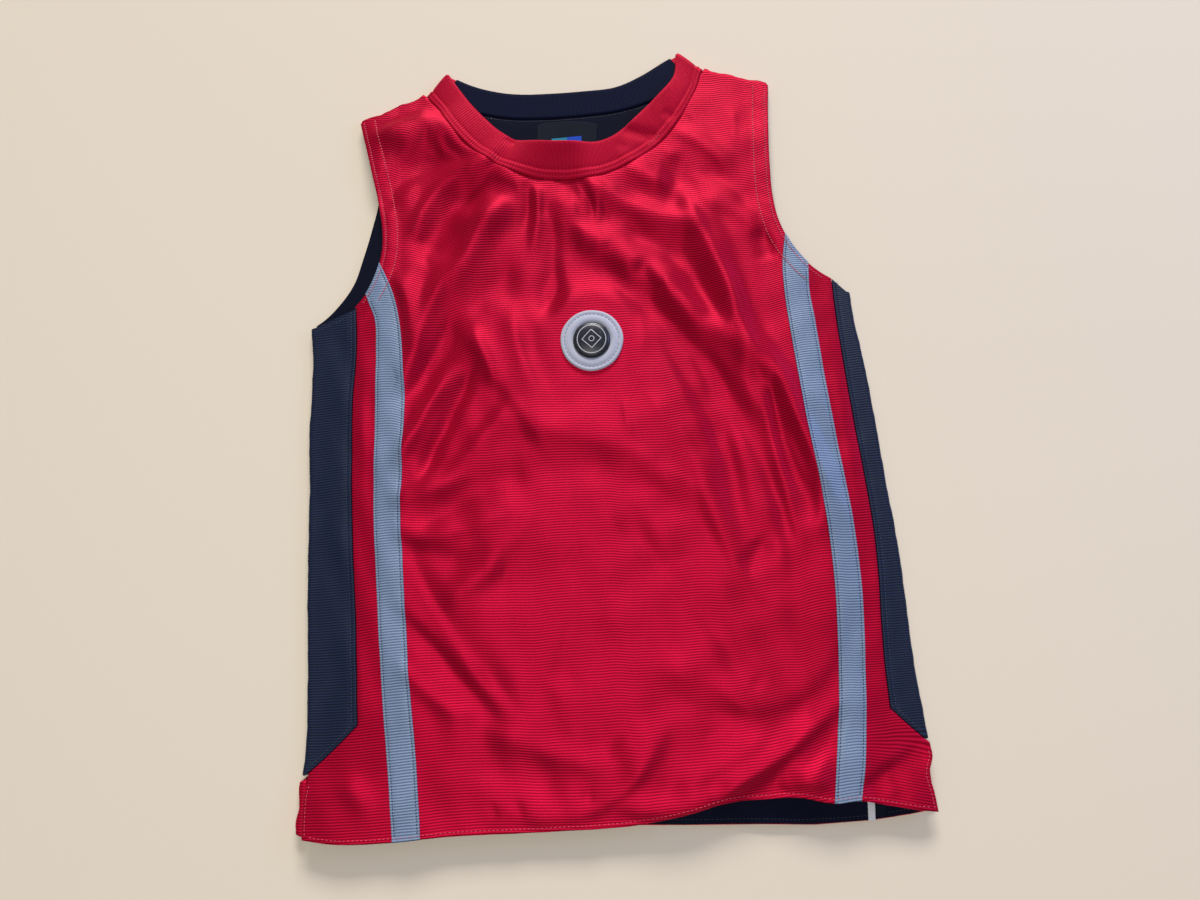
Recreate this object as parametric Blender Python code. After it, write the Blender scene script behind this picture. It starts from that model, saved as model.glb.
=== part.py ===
"""Child's lined sleeveless jersey, laid flat with its front up.

Metres, +Z up. +Y runs from the hem to the neck along the garment's middle, +X to the right of someone who
looks down on it. The origin is at the middle of its footprint, on the table.

The cloth is a stack of thin walls: the back panel lies on the table, the black lining lies on it, and the
front panel lies over both in soft folds. The side panels are folded round the two sides, and the neckband is a
ring folded flat at both shoulders.
"""

import math

import bpy
import numpy as np
from mathutils.geometry import delaunay_2d_cdt

for old in list(bpy.data.objects):
    bpy.data.objects.remove(old)

# ---------------------------------------------------------------- sizes, in millimetres
MM = 0.001
WALL = 1.2  # outer cloth
WALL_LINING = 1.0
WALL_RIBBON = 1.0  # the applied stripes
WALL_PATCH = 1.6
WALL_LABEL = 0.8
GAP = 0.3  # between neighbouring pieces
SEAM = GAP / 2  # each piece stays this far from a seam line
Z_LINING = WALL + GAP
Z_FRONT = Z_LINING + WALL_LINING + GAP  # the lowest that the front's underside lies
FOLD_R = (Z_FRONT + WALL) / 2 - WALL / 2  # middle radius of a fold from the front layer to the back layer
FOLD_Z = (Z_FRONT + WALL) / 2  # height of that fold's axis
SHOULDER_TAIL = 4.0  # how far the front panel reaches under, behind a shoulder fold
FRONT_STEP = 11.0  # spacing of the front panel's points
PUFF = 3.4  # how much the front lies above the stack, away from the sides
PATCH_X, PATCH_Y, PATCH_R = 5.0, 46.5, 18.5
MIDDLE = (-0.1, 0.05, 0.0)  # the footprint's middle, which becomes the origin
DOME_R, DOME_H = 11.0, 2.4

# Sections across the body. y is the section's place; the rest are where each edge crosses it.
SECTIONS = (
    # y, side_l, navy_l, stripe_l_out, stripe_l_in, stripe_r_in, stripe_r_out, navy_r, side_r
    (112.0, -164.5, -136.0, -134.0, -124.0, 125.5, 138.5, 149.0, 159.0),
    (98.0, -164.5, -136.0, -131.5, -117.5, 122.5, 136.8, 149.0, 159.0),
    (86.0, -164.5, -136.0, -129.5, -113.0, 120.5, 135.9, 149.0, 159.0),
    (70.0, -164.5, -135.8, -124.3, -109.6, 120.0, 135.0, 148.9, 159.0),
    (50.0, -163.6, -136.2, -123.9, -107.9, 120.8, 136.3, 149.3, 159.8),
    (25.0, -164.6, -138.6, -124.8, -107.2, 122.5, 137.8, 150.5, 162.6),
    (0.0, -166.2, -139.6, -125.5, -108.4, 124.2, 139.6, 152.0, 164.6),
    (-25.0, -166.0, -140.1, -126.6, -109.9, 126.2, 141.8, 153.9, 166.2),
    (-50.0, -166.7, -140.2, -127.0, -111.2, 129.2, 144.4, 155.9, 167.6),
    (-75.0, -167.3, -139.7, -126.4, -110.7, 131.2, 146.2, 157.2, 169.6),
    (-100.0, -167.7, -139.0, -125.7, -110.0, 131.6, 146.8, 157.0, 170.6),
    (-125.0, -167.6, -138.7, -125.0, -109.2, 130.7, 145.8, 155.6, 170.9),
    (-150.0, -168.0, -138.6, -124.0, -107.8, 129.0, 143.8, 154.9, 171.4),
    (-175.0, -168.9, -138.6, -122.5, -106.2, 126.2, 141.3, 155.3, 173.2),
    (-200.0, -172.6, -138.6, -120.8, -105.0, 122.0, 137.6, 155.3, 175.0),
    (-228.0, -175.6, -138.6, -119.6, -104.0, 117.5, 131.0, 155.3, 174.6),
)
SIDE_L, NAVY_L, STRIPE_L_OUT, STRIPE_L_IN, STRIPE_R_IN, STRIPE_R_OUT, NAVY_R, SIDE_R = range(1, 9)

# The ends of each side panel: where its seams with the front and back, and its fold, stop.
SIDE_PANELS = (
    # side, seam_bottom_y, seam_top_y, fold_bottom_y, fold_top_y
    ("left", -164.7, 77.6, -190.2, 68.0),
    ("right", -171.6, 75.2, -188.8, 66.6),
)

# Free edges of the front panel, in order, walking anticlockwise.
FRONT_HEM = (
    # x, y
    (-170.0, -223.4), (-155.0, -225.8), (-121.0, -226.8), (-100.0, -225.7), (-30.0, -225.6), (13.0, -224.6),
    (41.0, -220.4), (63.0, -215.5), (83.0, -214.8), (101.0, -214.7), (119.0, -218.4), (132.0, -217.9),
    (149.0, -221.5), (161.0, -224.0), (174.2, -226.2),
)
RIGHT_VENT = ((174.2, -226.2), (173.2, -216.0), (171.8, -207.0), (174.8, -197.0), (174.4, -190.6))
ARMHOLE_R = (
    (149.4, 74.9), (143.3, 78.9), (136.3, 85.1), (131.0, 92.0), (125.0, 102.5), (120.6, 115.5), (118.9, 130.0),
    (118.9, 146.0), (120.4, 173.0), (123.3, 203.0),
)
SHOULDER_R = ((123.3, 203.0), (83.9, 216.2))
SHOULDER_L = ((-89.2, 214.2), (-131.9, 199.1))
ARMHOLE_L = (
    (-131.9, 199.1), (-125.6, 169.0), (-121.6, 147.0), (-118.8, 128.0), (-119.3, 112.0), (-122.8, 99.5),
    (-129.6, 86.4), (-135.5, 79.8), (-138.0, 77.6),
)
LEFT_VENT = ((-167.2, -191.2), (-169.2, -201.0), (-170.0, -212.0), (-170.0, -223.4))

# The back's own free edges, where they differ from the front's.
BACK_ARMHOLE_L = (
    (-131.9, 199.1), (-124.6, 172.0), (-121.4, 150.0), (-126.1, 129.5), (-132.0, 110.6), (-138.4, 93.6),
    (-147.8, 81.0), (-155.3, 73.8), (-163.8, 68.2),
)
BACK_HEM = (
    (-170.0, -222.6), (-120.0, -225.2), (-40.0, -225.0), (10.0, -225.8), (41.0, -227.3), (82.0, -228.9), (109.0, -230.5),
    (140.0, -229.7), (161.0, -227.6), (174.0, -225.6),
)

# The neckband, a section for each row, across the band: its free edge, then its seam.
NECK_FRONT = (
    # free_x, free_y, seam_x, seam_y
    (-75.0, 228.0, -87.8, 213.0), (-67.6, 215.4, -80.8, 203.8), (-60.8, 204.9, -75.0, 192.8), (-52.5, 194.2, -67.0, 181.2),
    (-43.5, 184.5, -56.2, 170.0), (-32.5, 177.3, -42.0, 159.5), (-19.0, 172.8, -24.5, 151.6), (-4.0, 171.0, -6.2, 148.8),
    (11.0, 170.9, 11.2, 148.9), (24.0, 174.4, 28.6, 153.9), (35.0, 182.2, 44.0, 162.2), (45.0, 191.2, 56.4, 172.2),
    (54.5, 200.0, 66.6, 184.8), (61.3, 207.4, 73.2, 195.4), (66.2, 216.0, 78.4, 205.6), (68.0, 229.2, 82.2, 216.0),
)
NECK_BACK = (
    # free_x, free_y, seam_x, seam_y
    (68.0, 229.2, 82.2, 216.0), (61.0, 225.9, 70.0, 208.2), (45.2, 217.0, 50.4, 199.4), (28.4, 210.9, 30.0, 194.6),
    (8.0, 210.0, 8.0, 193.2), (-12.0, 210.2, -12.0, 193.3), (-29.6, 211.2, -32.0, 194.6), (-44.2, 213.9, -50.0, 198.2),
    (-59.6, 219.3, -68.2, 204.2), (-75.0, 228.0, -87.8, 213.0),
)

# The front's folds, a row for each: a path of three points, its height (below zero is a trough), how wide its
# flank is to the left and to the right of someone who walks along it, and what share of it fades in and out.
FOLDS = (
    # x0, y0, x1, y1, x2, y2, height, left, right, fade_in, fade_out
    (-91, 176, -104, 188, -135, 198, 3.3, 8.9, 15.0, 0.28, 0.32),
    (-94, 216, -87, 194, 150, -12, 1.6, 8.7, 7.6, 0.28, 0.32),
    (-129, 183, -83, 196, -69, 166, 3.6, 5.8, 14.5, 0.28, 0.32),
    (-113, 170, -65, 167, -50, 166, -1.0, 4.4, 4.8, 0.28, 0.32),
    (-117, 132, -106, 159, -72, 165, -3.0, 10.8, 6.7, 0.28, 0.32),
    (-100, 111, -81, 151, -33, 169, 2.4, 4.3, 4.9, 0.28, 0.32),
    (-86, 134, -53, 154, -24, 200, -1.5, 4.2, 4.1, 0.28, 0.32),
    (-1, 116, 11, 145, 42, 143, 2.1, 8.0, 15.1, 0.28, 0.32),
    (28, 159, 47, 145, 61, 146, 2.7, 7.9, 5.8, 0.28, 0.32),
    (74, 135, 51, 142, 32, 158, 1.1, 5.9, 4.4, 0.28, 0.32),
    (56, 122, 65, 150, 63, 164, -2.0, 7.6, 7.7, 0.28, 0.32),
    (57, 180, 84, 161, 99, 140, 2.3, 6.3, 4.7, 0.28, 0.32),
    (106, 119, 94, 140, 68, 151, -1.5, 4.7, 9.4, 0.28, 0.32),
    (-92, 99, -84, 125, -58, 155, -3.3, 6.6, 9.2, 0.28, 0.32),
    (-78, 133, -56, 130, -32, 140, 3.0, 7.0, 9.8, 0.28, 0.32),
    (-84, 187, -19, 137, -20, 87, 1.1, 4.7, 9.7, 0.28, 0.32),
    (-23, 125, -19, 133, -24, 150, -1.4, 2.7, 4.3, 0.28, 0.32),
    (-89, 167, -11, 137, -4, 105, 1.5, 9.9, 6.2, 0.28, 0.32),
    (18, 100, 7, 113, -4, 114, 1.9, 7.6, 5.1, 0.28, 0.32),
    (-5, 155, 41, 125, 86, 113, 3.5, 5.6, 7.1, 0.28, 0.32),
    (69, 131, 96, 121, 111, 100, 1.7, 6.8, 5.5, 0.28, 0.32),
    (-36, 152, -71, 99, -103, 70, 2.8, 8.5, 7.6, 0.28, 0.32),
    (-90, 94, -70, 103, -50, 149, 3.1, 4.3, 12.3, 0.28, 0.32),
    (-23, 56, -17, 90, -24, 111, -1.9, 7.2, 6.1, 0.28, 0.32),
    (25, 118, 55, 98, 57, 83, -2.1, 5.9, 5.8, 0.28, 0.32),
    (61, 148, 77, 101, 101, 39, 3.5, 4.8, 7.3, 0.28, 0.32),
    (90, 35, 86, 92, 70, 139, 2.6, 8.5, 6.5, 0.28, 0.32),
    (116, 88, 112, 102, 109, 111, -1.7, 7.2, 2.6, 0.28, 0.32),
    (-113, 100, -104, 75, -104, 44, 3.1, 9.1, 3.0, 0.28, 0.32),
    (-26, 106, -71, 64, -111, 8, -1.9, 8.2, 8.2, 0.28, 0.32),
    (-6, 68, -32, 80, -59, 79, -2.4, 10.4, 14.7, 0.28, 0.32),
    (-18, 66, 17, 68, 30, 73, 2.2, 10.6, 6.6, 0.28, 0.32),
    (-30, 108, 41, 66, 107, -38, -2.9, 7.7, 12.4, 0.28, 0.32),
    (52, 75, 43, 78, 35, 96, -3.0, 8.2, 4.7, 0.28, 0.32),
    (-2, 130, 48, 81, 143, -14, 2.3, 8.3, 8.4, 0.28, 0.32),
    (-78, 108, -105, 38, -114, 31, 2.2, 4.8, 5.5, 0.28, 0.32),
    (-111, 14, -88, 45, -76, 77, -2.8, 4.2, 7.7, 0.28, 0.32),
    (-55, 21, -58, 41, -69, 62, 2.1, 4.5, 4.6, 0.28, 0.32),
    (-23, 10, -39, 46, -39, 80, 1.4, 6.9, 4.0, 0.28, 0.32),
    (86, 48, 77, 59, 56, 114, -2.7, 8.6, 6.2, 0.28, 0.32),
    (-118, -25, -85, 27, -78, 39, 3.2, 4.6, 5.2, 0.28, 0.32),
    (-65, 41, -71, 25, -103, -36, -3.7, 3.8, 5.3, 0.28, 0.32),
    (-84, 74, -54, 35, -15, -33, 1.7, 15.1, 5.4, 0.28, 0.32),
    (41, 57, 60, 18, 88, -52, -2.3, 5.9, 5.0, 0.28, 0.32),
    (111, -7, 94, 15, 98, 60, 2.1, 6.3, 6.5, 0.28, 0.32),
    (77, 76, 109, 17, 146, -79, 2.8, 6.0, 5.0, 0.28, 0.32),
    (-84, -29, -59, -4, -40, 19, 2.4, 4.5, 10.7, 0.28, 0.32),
    (12, 92, 88, -6, 110, -120, -1.5, 6.3, 4.0, 0.28, 0.32),
    (115, 27, 108, -5, 126, -72, -1.8, 5.0, 3.1, 0.28, 0.32),
    (-120, -41, -89, -33, -68, -28, 3.0, 5.3, 6.5, 0.28, 0.32),
    (-108, -61, -56, -33, -25, -37, -2.3, 9.4, 6.8, 0.28, 0.32),
    (-39, -32, -7, -29, 20, -31, -2.1, 9.9, 12.3, 0.28, 0.32),
    (-53, 4, 16, -15, 43, -28, 2.2, 15.1, 7.6, 0.28, 0.32),
    (69, -53, 46, -37, 14, -13, 1.2, 8.4, 4.8, 0.28, 0.32),
    (64, -37, 53, -17, 31, 18, 1.5, 15.0, 5.7, 0.28, 0.32),
    (-110, -47, -100, -62, -39, -49, 2.0, 6.7, 5.5, 0.28, 0.32),
    (-72, -79, -43, -60, -37, -37, 1.5, 15.0, 7.8, 0.28, 0.32),
    (77, -92, 43, -50, 2, -33, -1.0, 7.6, 6.6, 0.28, 0.32),
    (72, 51, 82, -59, 87, -85, -2.1, 6.6, 7.5, 0.28, 0.32),
    (101, 17, 109, -43, 119, -92, 1.6, 3.2, 4.0, 0.28, 0.32),
    (99, 60, 129, -52, 107, -64, 2.1, 6.3, 3.6, 0.28, 0.32),
    (-68, -77, -90, -73, -116, -64, -1.8, 8.6, 5.8, 0.28, 0.32),
    (-50, -81, -61, -83, -92, -105, 2.1, 6.7, 7.1, 0.28, 0.32),
    (58, -22, 78, -86, 89, -93, 1.9, 7.3, 5.8, 0.28, 0.32),
    (78, -92, 92, -82, 91, -73, -2.1, 5.2, 8.4, 0.28, 0.32),
    (-67, -88, -47, -93, -11, -79, -1.4, 10.7, 12.3, 0.28, 0.32),
    (88, -173, 54, -111, -1, -39, -1.2, 5.5, 7.9, 0.28, 0.32),
    (74, -81, 96, -109, 132, -129, 1.0, 9.6, 5.6, 0.28, 0.32),
    (-52, -177, -101, -119, -125, -99, -2.6, 7.3, 4.5, 0.28, 0.32),
    (-113, -53, -84, -113, -34, -176, -1.1, 7.2, 2.7, 0.28, 0.32),
    (-31, -150, -15, -132, -1, -110, -1.5, 8.5, 15.0, 0.28, 0.32),
    (-119, -125, -90, -156, -69, -162, 1.4, 3.8, 5.2, 0.28, 0.32),
    (19, -140, 60, -153, 100, -183, 1.9, 10.1, 6.9, 0.28, 0.32),
    (-71, -165, -39, -182, 13, -198, 1.8, 7.1, 6.5, 0.28, 0.32),
    (24, -211, 22, -183, 8, -168, 1.7, 15.0, 8.0, 0.28, 0.32),
    (8, -143, 99, -171, 147, -104, -1.2, 5.0, 8.8, 0.28, 0.32),
    (-12, -195, -43, -196, -89, -180, -1.8, 8.6, 12.1, 0.28, 0.32),
    (31, -208, 63, -195, 97, -176, 1.6, 6.6, 5.2, 0.28, 0.32),
    (63, -220, 79, -212, 103, -198, -2.8, 5.7, 15.1, 0.28, 0.32),
    (90, -212, 96, -206, 121, -208, 2.7, 11.8, 4.0, 0.28, 0.32),
    (43, -219, 99, -189, 133, -160, 2.7, 6.8, 2.9, 0.28, 0.32),
    (81, -202, 106, -199, 134, -168, -1.6, 9.6, 3.0, 0.28, 0.32),
    (-65, -211, -5, -213, 37, -165, 2.3, 9.0, 4.5, 0.28, 0.32),
    (0, -214, 34, -217, 62, -208, 3.0, 9.0, 4.2, 0.28, 0.32),
    (-131, 60, -133, 0, -133, -60, 0.8, 4.0, 4.0, 0.40, 0.40),
    (143, 40, 148, -20, 151, -90, 0.9, 4.0, 4.0, 0.40, 0.40),
    (-150, -188, -140, -200, -128, -212, 1.2, 6.0, 6.0, 0.40, 0.40),
    (134, -214, 151, -203, 173, -192, -2.4, 3.0, 9.0, 0.15, 0.15),
)

# Broad soft rises of the front: the centre, the height and the reach each way.
RISES = (
    # x, y, height, reach_x, reach_y
    (95.0, -216.0, 3.0, 48.0, 26.0),
    (-140.0, -222.0, 1.6, 40.0, 22.0),
    (-4.0, 166.0, 3.0, 46.0, 22.0),
    (30.0, 10.0, 1.5, 60.0, 60.0),
    (132.0, -10.0, 1.2, 14.0, 120.0),
)


# ---------------------------------------------------------------- curves
def smooth_interp(at, xs, ys):
    """A smooth curve through rows of a table, read at the places given."""
    xs, ys, at = np.asarray(xs, float), np.asarray(ys, float), np.atleast_1d(np.asarray(at, float))
    slope = np.gradient(ys, xs)
    i = np.clip(np.searchsorted(xs, at) - 1, 0, len(xs) - 2)
    width = xs[i + 1] - xs[i]
    t = np.clip((at - xs[i]) / width, 0.0, 1.0)
    return (
        (2 * t**3 - 3 * t**2 + 1) * ys[i]
        + (t**3 - 2 * t**2 + t) * width * slope[i]
        + (3 * t**2 - 2 * t**3) * ys[i + 1]
        + (t**3 - t**2) * width * slope[i + 1]
    )


_rows = np.array(sorted(SECTIONS))


def edge(column, y):
    """Where one of the sections' edges lies at y."""
    return smooth_interp(y, _rows[:, 0], _rows[:, column])


def resample(points, step):
    """The same open path with a point about every step, its corners kept."""
    points = np.asarray(points, float)
    out = [points[:1]]
    for a, b in zip(points[:-1], points[1:]):
        n = max(1, int(round(np.linalg.norm(b - a) / step)))
        out.append(a + (b - a) * np.linspace(0, 1, n + 1)[1:, None])
    return np.concatenate(out)


def rounded(points, step):
    """A smooth curve through a table of points, read about every step."""
    points = np.asarray(points, float)
    run = np.concatenate([[0.0], np.cumsum(np.linalg.norm(np.diff(points, axis=0), axis=1))])
    at = np.linspace(0, run[-1], max(3, int(round(run[-1] / step)) + 1))
    return np.column_stack([smooth_interp(at, run, points[:, k]) for k in range(points.shape[1])])


def offset(points, by):
    """An open path moved to its left by a distance."""
    along = np.gradient(np.asarray(points, float), axis=0)
    along /= np.linalg.norm(along, axis=1)[:, None]
    return points + by * np.column_stack([-along[:, 1], along[:, 0]])


def inside(points, polygon):
    """Which points lie in the polygon."""
    x, y = points[:, 0], points[:, 1]
    found = np.zeros(len(points), bool)
    for (x0, y0), (x1, y1) in zip(polygon, np.roll(polygon, -1, axis=0)):
        if y0 == y1:
            continue
        crosses = (y0 > y) != (y1 > y)
        found ^= crosses & (x < (x1 - x0) * (y - y0) / (y1 - y0) + x0)
    return found


def away(points, path):
    """Each point's distance to a path, where along the path that is, from 0 to 1, and on which side."""
    run = np.concatenate([[0.0], np.cumsum(np.linalg.norm(np.diff(path, axis=0), axis=1))])
    best = np.full(len(points), 1e9)
    place, side = np.zeros(len(points)), np.ones(len(points))
    for k, (a, b) in enumerate(zip(path[:-1], path[1:])):
        d = b - a
        t = np.clip(((points - a) @ d) / (d @ d), 0, 1)
        off = points - (a + t[:, None] * d)
        far = np.hypot(off[:, 0], off[:, 1])
        closer = far < best
        best = np.where(closer, far, best)
        place = np.where(closer, (run[k] + t * (run[k + 1] - run[k])) / run[-1], place)
        side = np.where(closer, np.sign(d[0] * off[:, 1] - d[1] * off[:, 0]), side)
    return best, place, side


# ---------------------------------------------------------------- how high the front lies
def soft(t):
    t = np.clip(t, 0, 1)
    return t * t * (3 - 2 * t)


def bend(row, steps=16):
    """A fold's path: a smooth bend through its three points."""
    a, b, c = np.array(row[0:2], float), np.array(row[2:4], float), np.array(row[4:6], float)
    control = 2 * b - (a + c) / 2
    t = np.linspace(0, 1, steps + 1)[:, None]
    return (1 - t) ** 2 * a + 2 * t * (1 - t) * control + t**2 * c


def near_edges(points):
    """0 at the side folds and the shoulder folds, rising to 1 further in."""
    left = points[:, 0] - (edge(SIDE_L, points[:, 1]) + FOLD_R + WALL / 2)
    right = edge(SIDE_R, points[:, 1]) - FOLD_R - WALL / 2 - points[:, 0]
    vent = soft((-188.0 - points[:, 1]) / 16.0)
    side = np.minimum(left, right) + 26.0 * vent
    for a, b in (SHOULDER_L, SHOULDER_R, (NECK_FRONT[0][:2], NECK_FRONT[0][2:]), (NECK_FRONT[-1][:2], NECK_FRONT[-1][2:])):
        side = np.minimum(side, away(points, np.array([a, b], float))[0])
    return np.clip(side, 0, None)


def drape(points):
    """The height of the front's underside over the table, in mm, before the patch flattens it."""
    points = np.asarray(points, float)
    far = near_edges(points)
    high = PUFF * (1 - np.exp(-((far / 30.0) ** 2)))
    for x, y, height, reach_x, reach_y in RISES:
        high += height * np.exp(-(((points[:, 0] - x) / reach_x) ** 2) - ((points[:, 1] - y) / reach_y) ** 2)
    folds = np.zeros(len(points))
    for row in FOLDS:
        height, left, right, fade_in, fade_out = row[6:]
        dist, place, side = away(points, bend(row))
        wide = np.where(side > 0, left, right)
        folds += height * soft(place / fade_in + 0.02) * soft((1 - place) / fade_out + 0.02) * np.exp(-((dist / wide) ** 2))
    high = (high + folds) * (1 - np.exp(-((far / 9.0) ** 2)))
    return Z_FRONT + 0.5 * (high + np.sqrt(high**2 + 0.8**2)) - 0.4 * np.exp(-((far / 9.0) ** 2))


PATCH_HIGH = float(drape(np.array([[PATCH_X + dx, PATCH_Y + dy] for dx in (-14, 0, 14) for dy in (-14, 0, 14)])).mean())


def under(points):
    """The height of the front's underside over the table, in mm."""
    points = np.asarray(points, float)
    from_patch = np.hypot(points[:, 0] - PATCH_X, points[:, 1] - PATCH_Y)
    keep = soft((from_patch - PATCH_R - 3.0) / 16.0)
    return PATCH_HIGH + (drape(points) - PATCH_HIGH) * keep


# ---------------------------------------------------------------- meshes
def make(name, points, faces, colour, roughness, smooth_angle=40.0):
    """An object from points in millimetres, with its own material."""
    mesh = bpy.data.meshes.new(name)
    mesh.from_pydata(((np.asarray(points) - MIDDLE) * MM).tolist(), [], [list(map(int, f)) for f in faces])
    mesh.validate()
    mesh.shade_smooth()
    mesh.set_sharp_from_angle(angle=math.radians(smooth_angle))
    material = bpy.data.materials.new(name + "_cloth")
    material.use_nodes = True
    shader = material.node_tree.nodes["Principled BSDF"]
    shader.inputs["Base Color"].default_value = (*colour, 1.0)
    shader.inputs["Roughness"].default_value = roughness
    shader.inputs["Metallic"].default_value = 0.0
    mesh.materials.append(material)
    obj = bpy.data.objects.new(name, mesh)
    bpy.context.scene.collection.objects.link(obj)
    return obj


def triangulate(outline, lines=(), step=None):
    """Triangles that fill an outline, with inner lines kept as edges and points on a grid between them."""
    loops = [np.asarray(outline, float)] + [np.asarray(line, float) for line in lines]
    points, edges = [], []
    for k, loop in enumerate(loops):
        first = len(points)
        points += loop.tolist()
        edges += [(first + i, first + i + 1) for i in range(len(loop) - 1)]
        if k == 0:
            edges.append((first + len(loop) - 1, first))
    fixed = np.array(points)
    if step:
        low, high = loops[0].min(axis=0), loops[0].max(axis=0)
        rows = np.arange(low[1] + step / 2, high[1], step * 0.9)
        grid = []
        for r, y in enumerate(rows):
            xs = np.arange(low[0] + step * (0.5 if r % 2 else 1.0), high[0], step)
            grid.append(np.column_stack([xs, np.full(len(xs), y)]))
        grid = np.concatenate(grid)
        grid = grid[inside(grid, loops[0])]
        near = np.full(len(grid), 1e9)
        for k, loop in enumerate(loops):
            path = np.vstack([loop, loop[:1]]) if k == 0 else loop
            near = np.minimum(near, away(grid, path)[0])
        points += grid[near > 0.42 * step].tolist()
    verts, _, faces, *_ = delaunay_2d_cdt(points, edges, [], 0, 1e-4)
    verts = np.array([tuple(v) for v in verts])
    faces = np.array(faces)
    faces = faces[inside(verts[faces].mean(axis=1), loops[0])]
    a, b, c = verts[faces[:, 0]], verts[faces[:, 1]], verts[faces[:, 2]]
    area = (b[:, 0] - a[:, 0]) * (c[:, 1] - a[:, 1]) - (b[:, 1] - a[:, 1]) * (c[:, 0] - a[:, 0])
    faces = faces[np.abs(area) > 1e-3]
    area = area[np.abs(area) > 1e-3]
    faces[area < 0] = faces[area < 0][:, ::-1]
    return verts, faces, fixed


def shell(low, high, faces):
    """A closed wall between two surfaces that share their triangles: its lower and its upper points."""
    used, faces = np.unique(faces, return_inverse=True)
    faces = faces.reshape(-1, 3)
    low, high = low[used], high[used]
    n = len(used)
    ends = np.concatenate([faces[:, [0, 1]], faces[:, [1, 2]], faces[:, [2, 0]]])
    backward = {(b, a) for a, b in ends.tolist()}
    rim = [(a, b) for a, b in ends.tolist() if (a, b) not in backward]
    body = [list(f) for f in (faces + n).tolist()] + [list(f)[::-1] for f in faces.tolist()]
    body += [[a, b, b + n, a + n] for a, b in rim]
    return np.vstack([low, high]), body


def level(verts, z):
    return np.column_stack([verts, np.full(len(verts), float(z))])


def over_fold(verts, z_mid, lines, up):
    """Points of a wall's middle surface and its outward directions. Past a fold line the wall turns round the
    fold and runs back on the other layer. up is 1 for the front layer and -1 for the back layer."""
    middle = np.column_stack([verts, z_mid])
    out = np.tile([0.0, 0.0, float(up)], (len(verts), 1))
    for a, b in lines:
        a, b = np.array(a, float), np.array(b, float)
        d = (b - a) / np.linalg.norm(b - a)
        n = np.array([d[1], -d[0]])  # to the right of the line's direction, out of the garment
        past = (verts - a) @ n
        run = (verts - a) @ d
        for i in np.nonzero((past > 1e-6) & (run > -12) & (run < np.linalg.norm(b - a) + 12))[0]:
            foot = verts[i] - past[i] * n
            turn = min(past[i] / FOLD_R, math.pi)
            flat = max(past[i] - math.pi * FOLD_R, 0.0)
            at = foot + n * (FOLD_R * math.sin(turn) - flat)
            middle[i] = (*at, FOLD_Z + up * FOLD_R * math.cos(turn))
            out[i] = (*(n * math.sin(turn)), up * math.cos(turn))
    return middle, out


def past_line(a, b, by):
    """A line moved out of the garment, to the right of its direction."""
    a, b = np.array(a, float), np.array(b, float)
    d = (b - a) / np.linalg.norm(b - a)
    return np.array([a, b]) + by * np.array([d[1], -d[0]])


# ---------------------------------------------------------------- side panels, folded round the sides
SEAM_ROWS = 24


def side_edges(side):
    return (SIDE_L, NAVY_L, 1.0) if side == "left" else (SIDE_R, NAVY_R, -1.0)


def side_point(side, share, y):
    """A point of the side panel's front or back layer: share is 0 at the fold and 1 at the seam."""
    outer, seam, sign = side_edges(side)
    fold = edge(outer, y) + sign * (FOLD_R + WALL / 2)
    return fold + share * (edge(seam, y) - sign * SEAM - fold)


def side_rows(row, share):
    side, seam_bottom, seam_top, fold_bottom, fold_top = row
    low = fold_bottom + share * (seam_bottom - fold_bottom)
    high = fold_top + share * (seam_top - fold_top)
    return low + (high - low) * np.linspace(0, 1, SEAM_ROWS)


def side_panel(row):
    side = row[0]
    sign = side_edges(side)[2]
    columns, normals = [], []
    shares = (1.0, 0.66, 0.33, 0.0)
    for share in shares:  # the front layer, from the seam out to the fold
        y = side_rows(row, share)
        x = side_point(side, share, y)
        xy = np.column_stack([x, y])
        columns.append(np.column_stack([xy, under(xy) + WALL / 2]))
        normals.append(np.tile([0.0, 0.0, 1.0], (SEAM_ROWS, 1)))
    y = side_rows(row, 0.0)
    fold = side_point(side, 0.0, y)
    for turn in np.radians([30, 60, 90, 120, 150]):  # round the fold
        columns.append(np.column_stack([fold - sign * FOLD_R * math.sin(turn), y, np.full(SEAM_ROWS, FOLD_Z + FOLD_R * math.cos(turn))]))
        normals.append(np.tile([-sign * math.sin(turn), 0.0, math.cos(turn)], (SEAM_ROWS, 1)))
    for share in shares[::-1]:  # the back layer, back to its seam
        y = side_rows(row, share)
        columns.append(np.column_stack([side_point(side, share, y), y, np.full(SEAM_ROWS, WALL / 2)]))
        normals.append(np.tile([0.0, 0.0, -1.0], (SEAM_ROWS, 1)))
    middle, out = np.array(columns), np.array(normals)
    wide = len(columns)
    outer = (middle + out * WALL / 2).reshape(-1, 3)
    inner = (middle - out * WALL / 2).reshape(-1, 3)
    n = len(outer)
    at = lambda c, r: c * SEAM_ROWS + r
    faces = []
    for c in range(wide - 1):
        for r in range(SEAM_ROWS - 1):
            quad = [at(c, r), at(c + 1, r), at(c + 1, r + 1), at(c, r + 1)]
            faces.append(quad[::-1] if sign > 0 else quad)
            faces.append([q + n for q in (quad if sign > 0 else quad[::-1])])
    rim = [at(0, r) for r in range(SEAM_ROWS)] + [at(c, SEAM_ROWS - 1) for c in range(1, wide)]
    rim += [at(wide - 1, r) for r in range(SEAM_ROWS - 2, -1, -1)] + [at(c, 0) for c in range(wide - 2, 0, -1)]
    for a, b in zip(rim, rim[1:] + rim[:1]):
        faces.append([a, b, b + n, a + n] if sign < 0 else [b, a, a + n, b + n])
    return np.vstack([outer, inner]), faces


NAVY = (0.012, 0.022, 0.050)
RED = (0.52, 0.012, 0.035)
BLACK = (0.006, 0.008, 0.016)

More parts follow.
